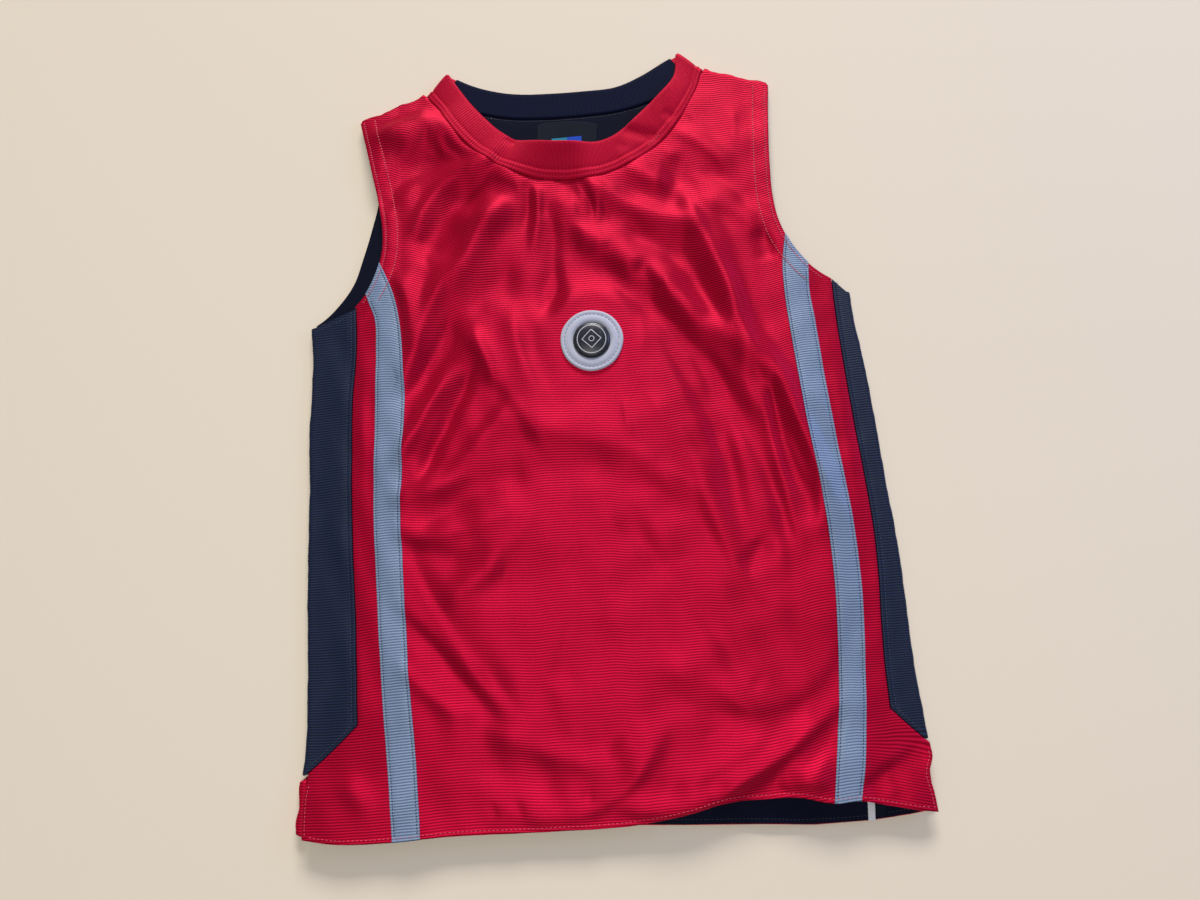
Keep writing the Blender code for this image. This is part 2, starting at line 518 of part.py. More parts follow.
for panel in SIDE_PANELS:
    verts, faces = side_panel(panel)
    make("side_panel_" + panel[0], verts, faces, NAVY, 0.55)

# ---------------------------------------------------------------- the neckband, a ring folded flat at both shoulders
def neck_stations(table):
    """Twice as many sections across the band as the table has, on smooth curves through it."""
    table = np.asarray(table, float)
    at = np.linspace(0, len(table) - 1, 2 * len(table) - 1)
    return np.column_stack([smooth_interp(at, np.arange(len(table)), table[:, k]) for k in range(4)])


FRONT_STATIONS = neck_stations(NECK_FRONT)
BACK_STATIONS = neck_stations(NECK_BACK)


def neckband():
    free, seam, out = [], [], []
    for row in FRONT_STATIONS:
        for points, xy in ((free, row[:2]), (seam, row[2:])):
            points.append([*xy, under(xy[None])[0] + WALL / 2])
        out.append([0, 0, 1])
    for stations, sign in ((FRONT_STATIONS, 1), (BACK_STATIONS, -1)):
        if sign < 0:
            for row in stations[1:-1]:
                free.append([*row[:2], WALL / 2])
                seam.append([*row[2:], WALL / 2])
                out.append([0, 0, -1])
        row = stations[-1]
        across = row[2:] - row[:2]
        n = np.array([across[1], -across[0]]) * (-1 if sign > 0 else 1)
        n = n / np.linalg.norm(n)
        if n[1] < 0:
            n = -n
        turns = np.radians([0, 36, 72, 108, 144, 180])
        for turn in turns[1:] if sign > 0 else turns[::-1][:-1]:
            shift = [*(n * FOLD_R * math.sin(turn)), 0]
            z = FOLD_Z + FOLD_R * math.cos(turn)
            free.append([row[0] + shift[0], row[1] + shift[1], z])
            seam.append([row[2] + shift[0], row[3] + shift[1], z])
            out.append([*(n * math.sin(turn)), math.cos(turn)])
    free, seam, out = np.array(free), np.array(seam), np.array(out, float)
    # The last section lies on the first one, so the ring closes there.
    k = len(free)
    rings = [free + out * WALL / 2, seam + out * WALL / 2, seam - out * WALL / 2, free - out * WALL / 2]
    verts = np.concatenate(rings)
    faces = []
    for i in range(k):
        j = (i + 1) % k
        for c in range(4):
            d = (c + 1) % 4
            faces.append([c * k + i, d * k + i, d * k + j, c * k + j])
    return verts, faces


verts, faces = neckband()
make("neckband", verts, faces, (0.60, 0.014, 0.045), 0.6)

# ---------------------------------------------------------------- front panel
seam_l = side_rows(SIDE_PANELS[0], 1.0)
seam_r = side_rows(SIDE_PANELS[1], 1.0)


def diagonal(row, step_down):
    """The side panel's lower end, seen on the front layer, from the seam to the fold, moved clear of it."""
    points = []
    for share in (1.0, 0.66, 0.33, 0.06):
        y = row[3] + share * (row[1] - row[3])
        points.append([float(side_point(row[0], share, y)[0]), y - step_down])
    return np.array(points)


def shoulder(a, b):
    """The far side of a shoulder fold: how the front panel's flat cloth goes on past the fold line."""
    return past_line(a, b, math.pi * FOLD_R + SHOULDER_TAIL)


def inset(path, by=SEAM):
    return offset(np.asarray(path, float), by)


step = FRONT_STEP * 0.8
neck_seam = offset(FRONT_STATIONS[:, 2:], -GAP)[::-1]
front_outline = np.vstack([
    resample(FRONT_HEM, step)[:-1],
    resample(RIGHT_VENT, step),
    diagonal(SIDE_PANELS[1], 0.35)[::-1][:-1],
    np.column_stack([edge(NAVY_R, seam_r) - SEAM, seam_r])[0:],
    rounded(ARMHOLE_R, step)[1:-1],
    [SHOULDER_R[0]],
    resample(shoulder(*SHOULDER_R), step),
    [SHOULDER_R[1]],
    neck_seam[1:-1],
    [SHOULDER_L[0]],
    resample(shoulder(*SHOULDER_L), step),
    [SHOULDER_L[1]],
    rounded(ARMHOLE_L, step)[1:-1],
    np.column_stack([edge(NAVY_L, seam_l) + SEAM, seam_l])[::-1],
    diagonal(SIDE_PANELS[0], 0.35)[1:],
    resample(LEFT_VENT, step)[:-1],
])
stripe_lines = []
for column in (STRIPE_L_OUT, STRIPE_L_IN, STRIPE_R_IN, STRIPE_R_OUT):
    y = np.arange(-236.0, 110.0, FRONT_STEP * 0.9)
    stripe_lines.append(np.column_stack([edge(column, y), y]))
around = np.linspace(0, 2 * math.pi, 33)
patch_ring = np.column_stack([PATCH_X + PATCH_R * np.cos(around), PATCH_Y + PATCH_R * np.sin(around)])
fold_rows = [
    resample(past_line(a, b, turn * FOLD_R), step)
    for a, b in (SHOULDER_R, SHOULDER_L)
    for turn in np.radians([0, 45, 90, 135, 180])
]
flat, tris, _ = triangulate(front_outline, stripe_lines + [patch_ring] + fold_rows, FRONT_STEP)
rest = under(flat)
middle, out = over_fold(flat, rest + WALL / 2, (SHOULDER_R, SHOULDER_L), 1)
front_low, front_high = middle - out * WALL / 2, middle + out * WALL / 2
make("front_panel", *shell(front_low, front_high, tris), RED, 0.42)

# ---------------------------------------------------------------- what lies on the front, made from its points
centres = flat[tris].mean(axis=1)
clear = np.array([0.0, 0.0, WALL + GAP])
lift = np.array([0.0, 0.0, 1.0])
for name, outer, inner in (("left", STRIPE_L_OUT, STRIPE_L_IN), ("right", STRIPE_R_OUT, STRIPE_R_IN)):
    x, y = centres[:, 0], centres[:, 1]
    on = (x - edge(outer, y)) * (x - edge(inner, y)) < 0
    on &= (y < 106) & (np.abs(x) > 95)
    make("stripe_" + name, *shell(front_low + clear, front_low + clear + WALL_RIBBON * lift, tris[on]), (0.20, 0.27, 0.38), 0.5)

on = inside(centres, patch_ring[:-1])
make("patch", *shell(front_low + clear, front_low + clear + WALL_PATCH * lift, tris[on]), (0.62, 0.66, 0.74), 0.5)

dome_z = PATCH_HIGH + WALL + GAP + WALL_PATCH + GAP
rings, count = 5, 28
verts, faces = [], []
for k in range(rings):
    lean = math.pi / 2 * k / rings
    for i in range(count):
        a = 2 * math.pi * i / count
        verts.append([PATCH_X + DOME_R * math.cos(lean) * math.cos(a), PATCH_Y + DOME_R * math.cos(lean) * math.sin(a), dome_z + DOME_H * math.sin(lean)])
verts.append([PATCH_X, PATCH_Y, dome_z + DOME_H])
for k in range(rings - 1):
    for i in range(count):
        j = (i + 1) % count
        faces.append([k * count + i, k * count + j, (k + 1) * count + j, (k + 1) * count + i])
for i in range(count):
    faces.append([(rings - 1) * count + i, (rings - 1) * count + (i + 1) % count, rings * count])
faces.append([i for i in range(count - 1, -1, -1)])
make("patch_dome", verts, faces, (0.03, 0.035, 0.055), 0.35)

# ---------------------------------------------------------------- back panel, flat on the table
def back_shoulder(a, b):
    """The back panel meets the front's tail behind the shoulder fold."""
    return past_line(a, b, -(SHOULDER_TAIL + GAP))


VENT_FOLD = ((-170.2, -192.2), (-173.0, -222.6))  # the back's left vent edge is folded up round the side
VENT_LAP = math.pi * FOLD_R + 2.3
vent_flat = past_line(*VENT_FOLD, VENT_LAP)
back_neck_seam = offset(BACK_STATIONS[:, 2:], GAP)
back_armhole_l = rounded(BACK_ARMHOLE_L, 9.0)
back_seam_l = np.column_stack([edge(NAVY_L, seam_l) + SEAM, seam_l])
back_seam_r = np.column_stack([edge(NAVY_R, seam_r) - SEAM, seam_r])
shoulder_r, shoulder_l = back_shoulder(*SHOULDER_R), back_shoulder(*SHOULDER_L)
back_arm_l = back_armhole_l[(back_armhole_l[:, 1] < shoulder_l[1][1] - 2) & (back_armhole_l[:, 1] > 80.6)] + [0.5, 0.0]
arm_r = rounded(ARMHOLE_R, 9.0)
back_arm_r = arm_r[(arm_r[:, 1] > 79) & (arm_r[:, 1] < shoulder_r[0][1] - 2)] - [0.2, 0.0]
neck_in = back_neck_seam[(back_neck_seam[:, 0] < shoulder_r[1][0] - 2) & (back_neck_seam[:, 0] > shoulder_l[0][0] + 2)]
back_outline = np.vstack([
    resample(BACK_HEM, 20.0),
    [(173.6, -207.0), (174.2, -197.0), (173.6, -190.8)],
    diagonal(SIDE_PANELS[1], 0.35)[::-1][:-1],
    back_seam_r,
    back_arm_r,
    shoulder_r,
    neck_in,
    shoulder_l,
    back_arm_l,
    back_seam_l[::-1],
    diagonal(SIDE_PANELS[0], 0.35)[1:-1],
    [VENT_FOLD[0]],
    vent_flat,
    [VENT_FOLD[1]],
])
vent_rows = [past_line(*VENT_FOLD, turn * FOLD_R) for turn in np.radians([0, 45, 90, 135, 180])]
flat_b, tris_b, _ = triangulate(back_outline, vent_rows)
middle, out = over_fold(flat_b, np.full(len(flat_b), WALL / 2), (VENT_FOLD,), -1)
# The vent's edge is the only part that turns: everything else lies flat.
turned = (flat_b[:, 1] < -190.0) & (flat_b[:, 0] < -165.0)
middle[~turned] = level(flat_b[~turned], WALL / 2)
out[~turned] = (0, 0, -1)
verts, faces = shell(middle + out * WALL / 2, middle - out * WALL / 2, tris_b)
make("back_panel", verts, faces, RED, 0.42)

# ---------------------------------------------------------------- lining and the neckband's black inner side
INSET = 0.8
side_y = np.linspace(-186.0, 62.0, 18)
lining_outline = np.vstack([
    resample(BACK_HEM, 20.0)[1:-1] + [0.0, 0.7],
    [(171.0, -224.6), (171.4, -207.0), (171.4, -192.0)],
    np.column_stack([edge(SIDE_R, side_y) - WALL - INSET, side_y]),
    rounded(ARMHOLE_R, 9.0)[1:-1] + [0.35, 0.35],
    past_line(*SHOULDER_R, -INSET),
    (BACK_STATIONS[:, 2:])[1:-1] - [0.0, 0.6],
    past_line(*SHOULDER_L, -INSET),
    rounded(BACK_ARMHOLE_L, 9.0)[1:-1],
    np.column_stack([edge(SIDE_L, side_y) + WALL + INSET, side_y])[::-1],
    [(-167.6, -192.0), (-168.6, -207.0), (-169.4, -222.0)],
])
flat_l, tris_l, _ = triangulate(lining_outline)
make("back_lining", *shell(level(flat_l, Z_LINING), level(flat_l, Z_LINING + WALL_LINING), tris_l), BLACK, 0.8)

inner_rows = BACK_STATIONS[1:-1]
crescent = np.vstack([inner_rows[:, :2] - [0.0, 0.4], inner_rows[::-1][:, 2:]])
flat_c, tris_c, _ = triangulate(crescent)
make("neckband_inner", *shell(level(flat_c, Z_LINING), level(flat_c, Z_LINING + WALL_LINING), tris_c), BLACK, 0.8)

# ---------------------------------------------------------------- labels
def tape(name, corners, z, wall, colour):
    """A flat label from its corners, walking anticlockwise."""
    flat_t, tris_t, _ = triangulate(resample(np.array(list(corners) + [corners[0]], float), 12.0)[:-1])
    make(name, *shell(level(flat_t, z), level(flat_t, z + wall), tris_t), colour, 0.6)


LABEL_Z = Z_LINING + WALL_LINING + GAP
tape("neck_label", ((-22.8, 162.0), (14.2, 159.4), (16.2, 186.6), (10.0, 188.6), (-2.0, 190.2), (-14.0, 190.6), (-21.0, 189.2)), LABEL_Z, WALL_LABEL, (0.012, 0.018, 0.035))
tape("care_tag", ((137.2, -229.2), (141.0, -229.4), (142.6, -206.0), (138.8, -205.8)), LABEL_Z, WALL_LABEL, (0.80, 0.80, 0.80))
tape("care_tag_leaf", ((141.5, -228.0), (147.2, -227.6), (148.6, -206.4), (143.1, -206.1)), LABEL_Z, WALL_LABEL, (0.03, 0.035, 0.05))
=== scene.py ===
"""The looks of a child's lined sleeveless jersey, laid flat with its front up.

Shapes are worked out in millimetres in the garment's own frame: +Y from hem to neck, +X to the right of someone who
looks down on it, +Z up, z = 0 on the table. They are turned into metres when a mesh is made.
"""

import math

import bpy
import numpy as np
from mathutils import Matrix, Vector
from mathutils.geometry import delaunay_2d_cdt
from mathutils.kdtree import KDTree


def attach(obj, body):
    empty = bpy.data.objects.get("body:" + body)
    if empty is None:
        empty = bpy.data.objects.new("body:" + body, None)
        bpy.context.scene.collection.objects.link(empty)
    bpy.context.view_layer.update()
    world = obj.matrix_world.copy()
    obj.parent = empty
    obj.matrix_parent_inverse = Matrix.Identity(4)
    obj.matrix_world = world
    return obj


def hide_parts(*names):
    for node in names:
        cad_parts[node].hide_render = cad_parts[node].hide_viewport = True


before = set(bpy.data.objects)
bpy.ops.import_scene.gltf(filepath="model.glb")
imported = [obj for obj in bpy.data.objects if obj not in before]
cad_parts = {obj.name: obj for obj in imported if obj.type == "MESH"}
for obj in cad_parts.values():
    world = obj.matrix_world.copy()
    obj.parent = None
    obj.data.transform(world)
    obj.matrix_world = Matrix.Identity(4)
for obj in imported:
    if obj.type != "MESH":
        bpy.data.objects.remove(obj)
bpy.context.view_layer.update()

# ---------------------------------------------------------------- sizes, in millimetres, as in the construction
MM = 0.001
WALL = 1.2
WALL_LINING = 1.0
GAP = 0.3
SEAM = GAP / 2
Z_LINING = WALL + GAP
Z_FRONT = Z_LINING + WALL_LINING + GAP
FOLD_R = (Z_FRONT + WALL) / 2 - WALL / 2
FOLD_Z = (Z_FRONT + WALL) / 2
SHOULDER_TAIL = 4.0
PUFF = 3.4
PATCH_X, PATCH_Y, PATCH_R = 5.0, 46.5, 18.5
DOME_R, DOME_H = 11.0, 2.4
MIDDLE = np.array([-0.1, 0.05, 0.0])
RIB = 1.5  # pitch of the outer cloth's fine horizontal rib
BAND_RIB = 1.6  # pitch of the neckband's ribs

SECTIONS = (
    # y, side_l, navy_l, stripe_l_out, stripe_l_in, stripe_r_in, stripe_r_out, navy_r, side_r
    (112.0, -164.5, -136.0, -134.0, -124.0, 125.5, 138.5, 149.0, 159.0),
    (98.0, -164.5, -136.0, -131.5, -117.5, 122.5, 136.8, 149.0, 159.0),
    (86.0, -164.5, -136.0, -129.5, -113.0, 120.5, 135.9, 149.0, 159.0),
    (70.0, -164.5, -135.8, -124.3, -109.6, 120.0, 135.0, 148.9, 159.0),
    (50.0, -163.6, -136.2, -123.9, -107.9, 120.8, 136.3, 149.3, 159.8),
    (25.0, -164.6, -138.6, -124.8, -107.2, 122.5, 137.8, 150.5, 162.6),
    (0.0, -166.2, -139.6, -125.5, -108.4, 124.2, 139.6, 152.0, 164.6),
    (-25.0, -166.0, -140.1, -126.6, -109.9, 126.2, 141.8, 153.9, 166.2),
    (-50.0, -166.7, -140.2, -127.0, -111.2, 129.2, 144.4, 155.9, 167.6),
    (-75.0, -167.3, -139.7, -126.4, -110.7, 131.2, 146.2, 157.2, 169.6),
    (-100.0, -167.7, -139.0, -125.7, -110.0, 131.6, 146.8, 157.0, 170.6),
    (-125.0, -167.6, -138.7, -125.0, -109.2, 130.7, 145.8, 155.6, 170.9),
    (-150.0, -168.0, -138.6, -124.0, -107.8, 129.0, 143.8, 154.9, 171.4),
    (-175.0, -168.9, -138.6, -122.5, -106.2, 126.2, 141.3, 155.3, 173.2),
    (-200.0, -172.6, -138.6, -120.8, -105.0, 122.0, 137.6, 155.3, 175.0),
    (-228.0, -175.6, -138.6, -119.6, -104.0, 117.5, 131.0, 155.3, 174.6),
)
SIDE_L, NAVY_L, STRIPE_L_OUT, STRIPE_L_IN, STRIPE_R_IN, STRIPE_R_OUT, NAVY_R, SIDE_R = range(1, 9)
SIDE_PANELS = (
    # side, seam_bottom_y, seam_top_y, fold_bottom_y, fold_top_y
    ("left", -164.7, 77.6, -190.2, 68.0),
    ("right", -171.6, 75.2, -188.8, 66.6),
)
FRONT_HEM = (
    # x, y
    (-170.0, -223.4), (-155.0, -225.8), (-121.0, -226.8), (-100.0, -225.7), (-30.0, -225.6), (13.0, -224.6),
    (41.0, -220.4), (63.0, -215.5), (83.0, -214.8), (101.0, -214.7), (119.0, -218.4), (132.0, -217.9),
    (149.0, -221.5), (161.0, -224.0), (174.2, -226.2),
)
RIGHT_VENT = ((174.2, -226.2), (173.2, -216.0), (171.8, -207.0), (174.8, -197.0), (174.4, -190.6))
ARMHOLE_R = (
    (149.4, 74.9), (143.3, 78.9), (136.3, 85.1), (131.0, 92.0), (125.0, 102.5), (120.6, 115.5), (118.9, 130.0),
    (118.9, 146.0), (120.4, 173.0), (123.3, 203.0),
)
SHOULDER_R = ((123.3, 203.0), (83.9, 216.2))
SHOULDER_L = ((-89.2, 214.2), (-131.9, 199.1))
ARMHOLE_L = (
    (-131.9, 199.1), (-125.6, 169.0), (-121.6, 147.0), (-118.8, 128.0), (-119.3, 112.0), (-122.8, 99.5),
    (-129.6, 86.4), (-135.5, 79.8), (-138.0, 77.6),
)
LEFT_VENT = ((-167.2, -191.2), (-169.2, -201.0), (-170.0, -212.0), (-170.0, -223.4))
BACK_ARMHOLE_L = (
    (-131.9, 199.1), (-124.6, 172.0), (-121.4, 150.0), (-126.1, 129.5), (-132.0, 110.6), (-138.4, 93.6),
    (-147.8, 81.0), (-155.3, 73.8), (-163.8, 68.2),
)
BACK_HEM = (
    (-170.0, -222.6), (-120.0, -225.2), (-40.0, -225.0), (10.0, -225.8), (41.0, -227.3), (82.0, -228.9), (109.0, -230.5),
    (140.0, -229.7), (161.0, -227.6), (174.0, -225.6),
)
NECK_FRONT = (
    # free_x, free_y, seam_x, seam_y
    (-75.0, 228.0, -87.8, 213.0), (-67.6, 215.4, -80.8, 203.8), (-60.8, 204.9, -75.0, 192.8), (-52.5, 194.2, -67.0, 181.2),
    (-43.5, 184.5, -56.2, 170.0), (-32.5, 177.3, -42.0, 159.5), (-19.0, 172.8, -24.5, 151.6), (-4.0, 171.0, -6.2, 148.8),
    (11.0, 170.9, 11.2, 148.9), (24.0, 174.4, 28.6, 153.9), (35.0, 182.2, 44.0, 162.2), (45.0, 191.2, 56.4, 172.2),
    (54.5, 200.0, 66.6, 184.8), (61.3, 207.4, 73.2, 195.4), (66.2, 216.0, 78.4, 205.6), (68.0, 229.2, 82.2, 216.0),
)
NECK_BACK = (
    # free_x, free_y, seam_x, seam_y
    (68.0, 229.2, 82.2, 216.0), (61.0, 225.9, 70.0, 208.2), (45.2, 217.0, 50.4, 199.4), (28.4, 210.9, 30.0, 194.6),
    (8.0, 210.0, 8.0, 193.2), (-12.0, 210.2, -12.0, 193.3), (-29.6, 211.2, -32.0, 194.6), (-44.2, 213.9, -50.0, 198.2),
    (-59.6, 219.3, -68.2, 204.2), (-75.0, 228.0, -87.8, 213.0),
)
FOLDS = (
    # x0, y0, x1, y1, x2, y2, height, left, right, fade_in, fade_out
    (-91, 176, -104, 188, -135, 198, 3.3, 8.9, 15.0, 0.28, 0.32),
    (-94, 216, -87, 194, 150, -12, 1.6, 8.7, 7.6, 0.28, 0.32),
    (-129, 183, -83, 196, -69, 166, 3.6, 5.8, 14.5, 0.28, 0.32),
    (-113, 170, -65, 167, -50, 166, -1.0, 4.4, 4.8, 0.28, 0.32),
    (-117, 132, -106, 159, -72, 165, -3.0, 10.8, 6.7, 0.28, 0.32),
    (-100, 111, -81, 151, -33, 169, 2.4, 4.3, 4.9, 0.28, 0.32),
    (-86, 134, -53, 154, -24, 200, -1.5, 4.2, 4.1, 0.28, 0.32),
    (-1, 116, 11, 145, 42, 143, 2.1, 8.0, 15.1, 0.28, 0.32),
    (28, 159, 47, 145, 61, 146, 2.7, 7.9, 5.8, 0.28, 0.32),
    (74, 135, 51, 142, 32, 158, 1.1, 5.9, 4.4, 0.28, 0.32),
    (56, 122, 65, 150, 63, 164, -2.0, 7.6, 7.7, 0.28, 0.32),
    (57, 180, 84, 161, 99, 140, 2.3, 6.3, 4.7, 0.28, 0.32),
    (106, 119, 94, 140, 68, 151, -1.5, 4.7, 9.4, 0.28, 0.32),
    (-92, 99, -84, 125, -58, 155, -3.3, 6.6, 9.2, 0.28, 0.32),
    (-78, 133, -56, 130, -32, 140, 3.0, 7.0, 9.8, 0.28, 0.32),
    (-84, 187, -19, 137, -20, 87, 1.1, 4.7, 9.7, 0.28, 0.32),
    (-23, 125, -19, 133, -24, 150, -1.4, 2.7, 4.3, 0.28, 0.32),
    (-89, 167, -11, 137, -4, 105, 1.5, 9.9, 6.2, 0.28, 0.32),
    (18, 100, 7, 113, -4, 114, 1.9, 7.6, 5.1, 0.28, 0.32),
    (-5, 155, 41, 125, 86, 113, 3.5, 5.6, 7.1, 0.28, 0.32),
    (69, 131, 96, 121, 111, 100, 1.7, 6.8, 5.5, 0.28, 0.32),
    (-36, 152, -71, 99, -103, 70, 2.8, 8.5, 7.6, 0.28, 0.32),
    (-90, 94, -70, 103, -50, 149, 3.1, 4.3, 12.3, 0.28, 0.32),
    (-23, 56, -17, 90, -24, 111, -1.9, 7.2, 6.1, 0.28, 0.32),
    (25, 118, 55, 98, 57, 83, -2.1, 5.9, 5.8, 0.28, 0.32),
    (61, 148, 77, 101, 101, 39, 3.5, 4.8, 7.3, 0.28, 0.32),
    (90, 35, 86, 92, 70, 139, 2.6, 8.5, 6.5, 0.28, 0.32),
    (116, 88, 112, 102, 109, 111, -1.7, 7.2, 2.6, 0.28, 0.32),
    (-113, 100, -104, 75, -104, 44, 3.1, 9.1, 3.0, 0.28, 0.32),
    (-26, 106, -71, 64, -111, 8, -1.9, 8.2, 8.2, 0.28, 0.32),
    (-6, 68, -32, 80, -59, 79, -2.4, 10.4, 14.7, 0.28, 0.32),
    (-18, 66, 17, 68, 30, 73, 2.2, 10.6, 6.6, 0.28, 0.32),
    (-30, 108, 41, 66, 107, -38, -2.9, 7.7, 12.4, 0.28, 0.32),
    (52, 75, 43, 78, 35, 96, -3.0, 8.2, 4.7, 0.28, 0.32),
    (-2, 130, 48, 81, 143, -14, 2.3, 8.3, 8.4, 0.28, 0.32),
    (-78, 108, -105, 38, -114, 31, 2.2, 4.8, 5.5, 0.28, 0.32),
    (-111, 14, -88, 45, -76, 77, -2.8, 4.2, 7.7, 0.28, 0.32),
    (-55, 21, -58, 41, -69, 62, 2.1, 4.5, 4.6, 0.28, 0.32),
    (-23, 10, -39, 46, -39, 80, 1.4, 6.9, 4.0, 0.28, 0.32),
    (86, 48, 77, 59, 56, 114, -2.7, 8.6, 6.2, 0.28, 0.32),
    (-118, -25, -85, 27, -78, 39, 3.2, 4.6, 5.2, 0.28, 0.32),
    (-65, 41, -71, 25, -103, -36, -3.7, 3.8, 5.3, 0.28, 0.32),
    (-84, 74, -54, 35, -15, -33, 1.7, 15.1, 5.4, 0.28, 0.32),
    (41, 57, 60, 18, 88, -52, -2.3, 5.9, 5.0, 0.28, 0.32),
    (111, -7, 94, 15, 98, 60, 2.1, 6.3, 6.5, 0.28, 0.32),
    (77, 76, 109, 17, 146, -79, 2.8, 6.0, 5.0, 0.28, 0.32),
    (-84, -29, -59, -4, -40, 19, 2.4, 4.5, 10.7, 0.28, 0.32),
    (12, 92, 88, -6, 110, -120, -1.5, 6.3, 4.0, 0.28, 0.32),
    (115, 27, 108, -5, 126, -72, -1.8, 5.0, 3.1, 0.28, 0.32),
    (-120, -41, -89, -33, -68, -28, 3.0, 5.3, 6.5, 0.28, 0.32),
    (-108, -61, -56, -33, -25, -37, -2.3, 9.4, 6.8, 0.28, 0.32),
    (-39, -32, -7, -29, 20, -31, -2.1, 9.9, 12.3, 0.28, 0.32),
    (-53, 4, 16, -15, 43, -28, 2.2, 15.1, 7.6, 0.28, 0.32),
    (69, -53, 46, -37, 14, -13, 1.2, 8.4, 4.8, 0.28, 0.32),
    (64, -37, 53, -17, 31, 18, 1.5, 15.0, 5.7, 0.28, 0.32),
    (-110, -47, -100, -62, -39, -49, 2.0, 6.7, 5.5, 0.28, 0.32),
    (-72, -79, -43, -60, -37, -37, 1.5, 15.0, 7.8, 0.28, 0.32),
    (77, -92, 43, -50, 2, -33, -1.0, 7.6, 6.6, 0.28, 0.32),
    (72, 51, 82, -59, 87, -85, -2.1, 6.6, 7.5, 0.28, 0.32),
    (101, 17, 109, -43, 119, -92, 1.6, 3.2, 4.0, 0.28, 0.32),
    (99, 60, 129, -52, 107, -64, 2.1, 6.3, 3.6, 0.28, 0.32),
    (-68, -77, -90, -73, -116, -64, -1.8, 8.6, 5.8, 0.28, 0.32),
    (-50, -81, -61, -83, -92, -105, 2.1, 6.7, 7.1, 0.28, 0.32),
    (58, -22, 78, -86, 89, -93, 1.9, 7.3, 5.8, 0.28, 0.32),
    (78, -92, 92, -82, 91, -73, -2.1, 5.2, 8.4, 0.28, 0.32),
    (-67, -88, -47, -93, -11, -79, -1.4, 10.7, 12.3, 0.28, 0.32),
    (88, -173, 54, -111, -1, -39, -1.2, 5.5, 7.9, 0.28, 0.32),
    (74, -81, 96, -109, 132, -129, 1.0, 9.6, 5.6, 0.28, 0.32),
    (-52, -177, -101, -119, -125, -99, -2.6, 7.3, 4.5, 0.28, 0.32),
    (-113, -53, -84, -113, -34, -176, -1.1, 7.2, 2.7, 0.28, 0.32),
    (-31, -150, -15, -132, -1, -110, -1.5, 8.5, 15.0, 0.28, 0.32),
    (-119, -125, -90, -156, -69, -162, 1.4, 3.8, 5.2, 0.28, 0.32),
    (19, -140, 60, -153, 100, -183, 1.9, 10.1, 6.9, 0.28, 0.32),
    (-71, -165, -39, -182, 13, -198, 1.8, 7.1, 6.5, 0.28, 0.32),
    (24, -211, 22, -183, 8, -168, 1.7, 15.0, 8.0, 0.28, 0.32),
    (8, -143, 99, -171, 147, -104, -1.2, 5.0, 8.8, 0.28, 0.32),
    (-12, -195, -43, -196, -89, -180, -1.8, 8.6, 12.1, 0.28, 0.32),
    (31, -208, 63, -195, 97, -176, 1.6, 6.6, 5.2, 0.28, 0.32),
    (63, -220, 79, -212, 103, -198, -2.8, 5.7, 15.1, 0.28, 0.32),
    (90, -212, 96, -206, 121, -208, 2.7, 11.8, 4.0, 0.28, 0.32),
    (43, -219, 99, -189, 133, -160, 2.7, 6.8, 2.9, 0.28, 0.32),
    (81, -202, 106, -199, 134, -168, -1.6, 9.6, 3.0, 0.28, 0.32),
    (-65, -211, -5, -213, 37, -165, 2.3, 9.0, 4.5, 0.28, 0.32),
    (0, -214, 34, -217, 62, -208, 3.0, 9.0, 4.2, 0.28, 0.32),
    (-131, 60, -133, 0, -133, -60, 0.8, 4.0, 4.0, 0.40, 0.40),
    (143, 40, 148, -20, 151, -90, 0.9, 4.0, 4.0, 0.40, 0.40),
    (-150, -188, -140, -200, -128, -212, 1.2, 6.0, 6.0, 0.40, 0.40),
    (134, -214, 151, -203, 173, -192, -2.4, 3.0, 9.0, 0.15, 0.15),
)

RISES = (
    # x, y, height, reach_x, reach_y
    (95.0, -216.0, 3.0, 48.0, 26.0),
    (-140.0, -222.0, 1.6, 40.0, 22.0),
    (-4.0, 166.0, 3.0, 46.0, 22.0),
    (30.0, 10.0, 1.5, 60.0, 60.0),
    (132.0, -10.0, 1.2, 14.0, 120.0),
)

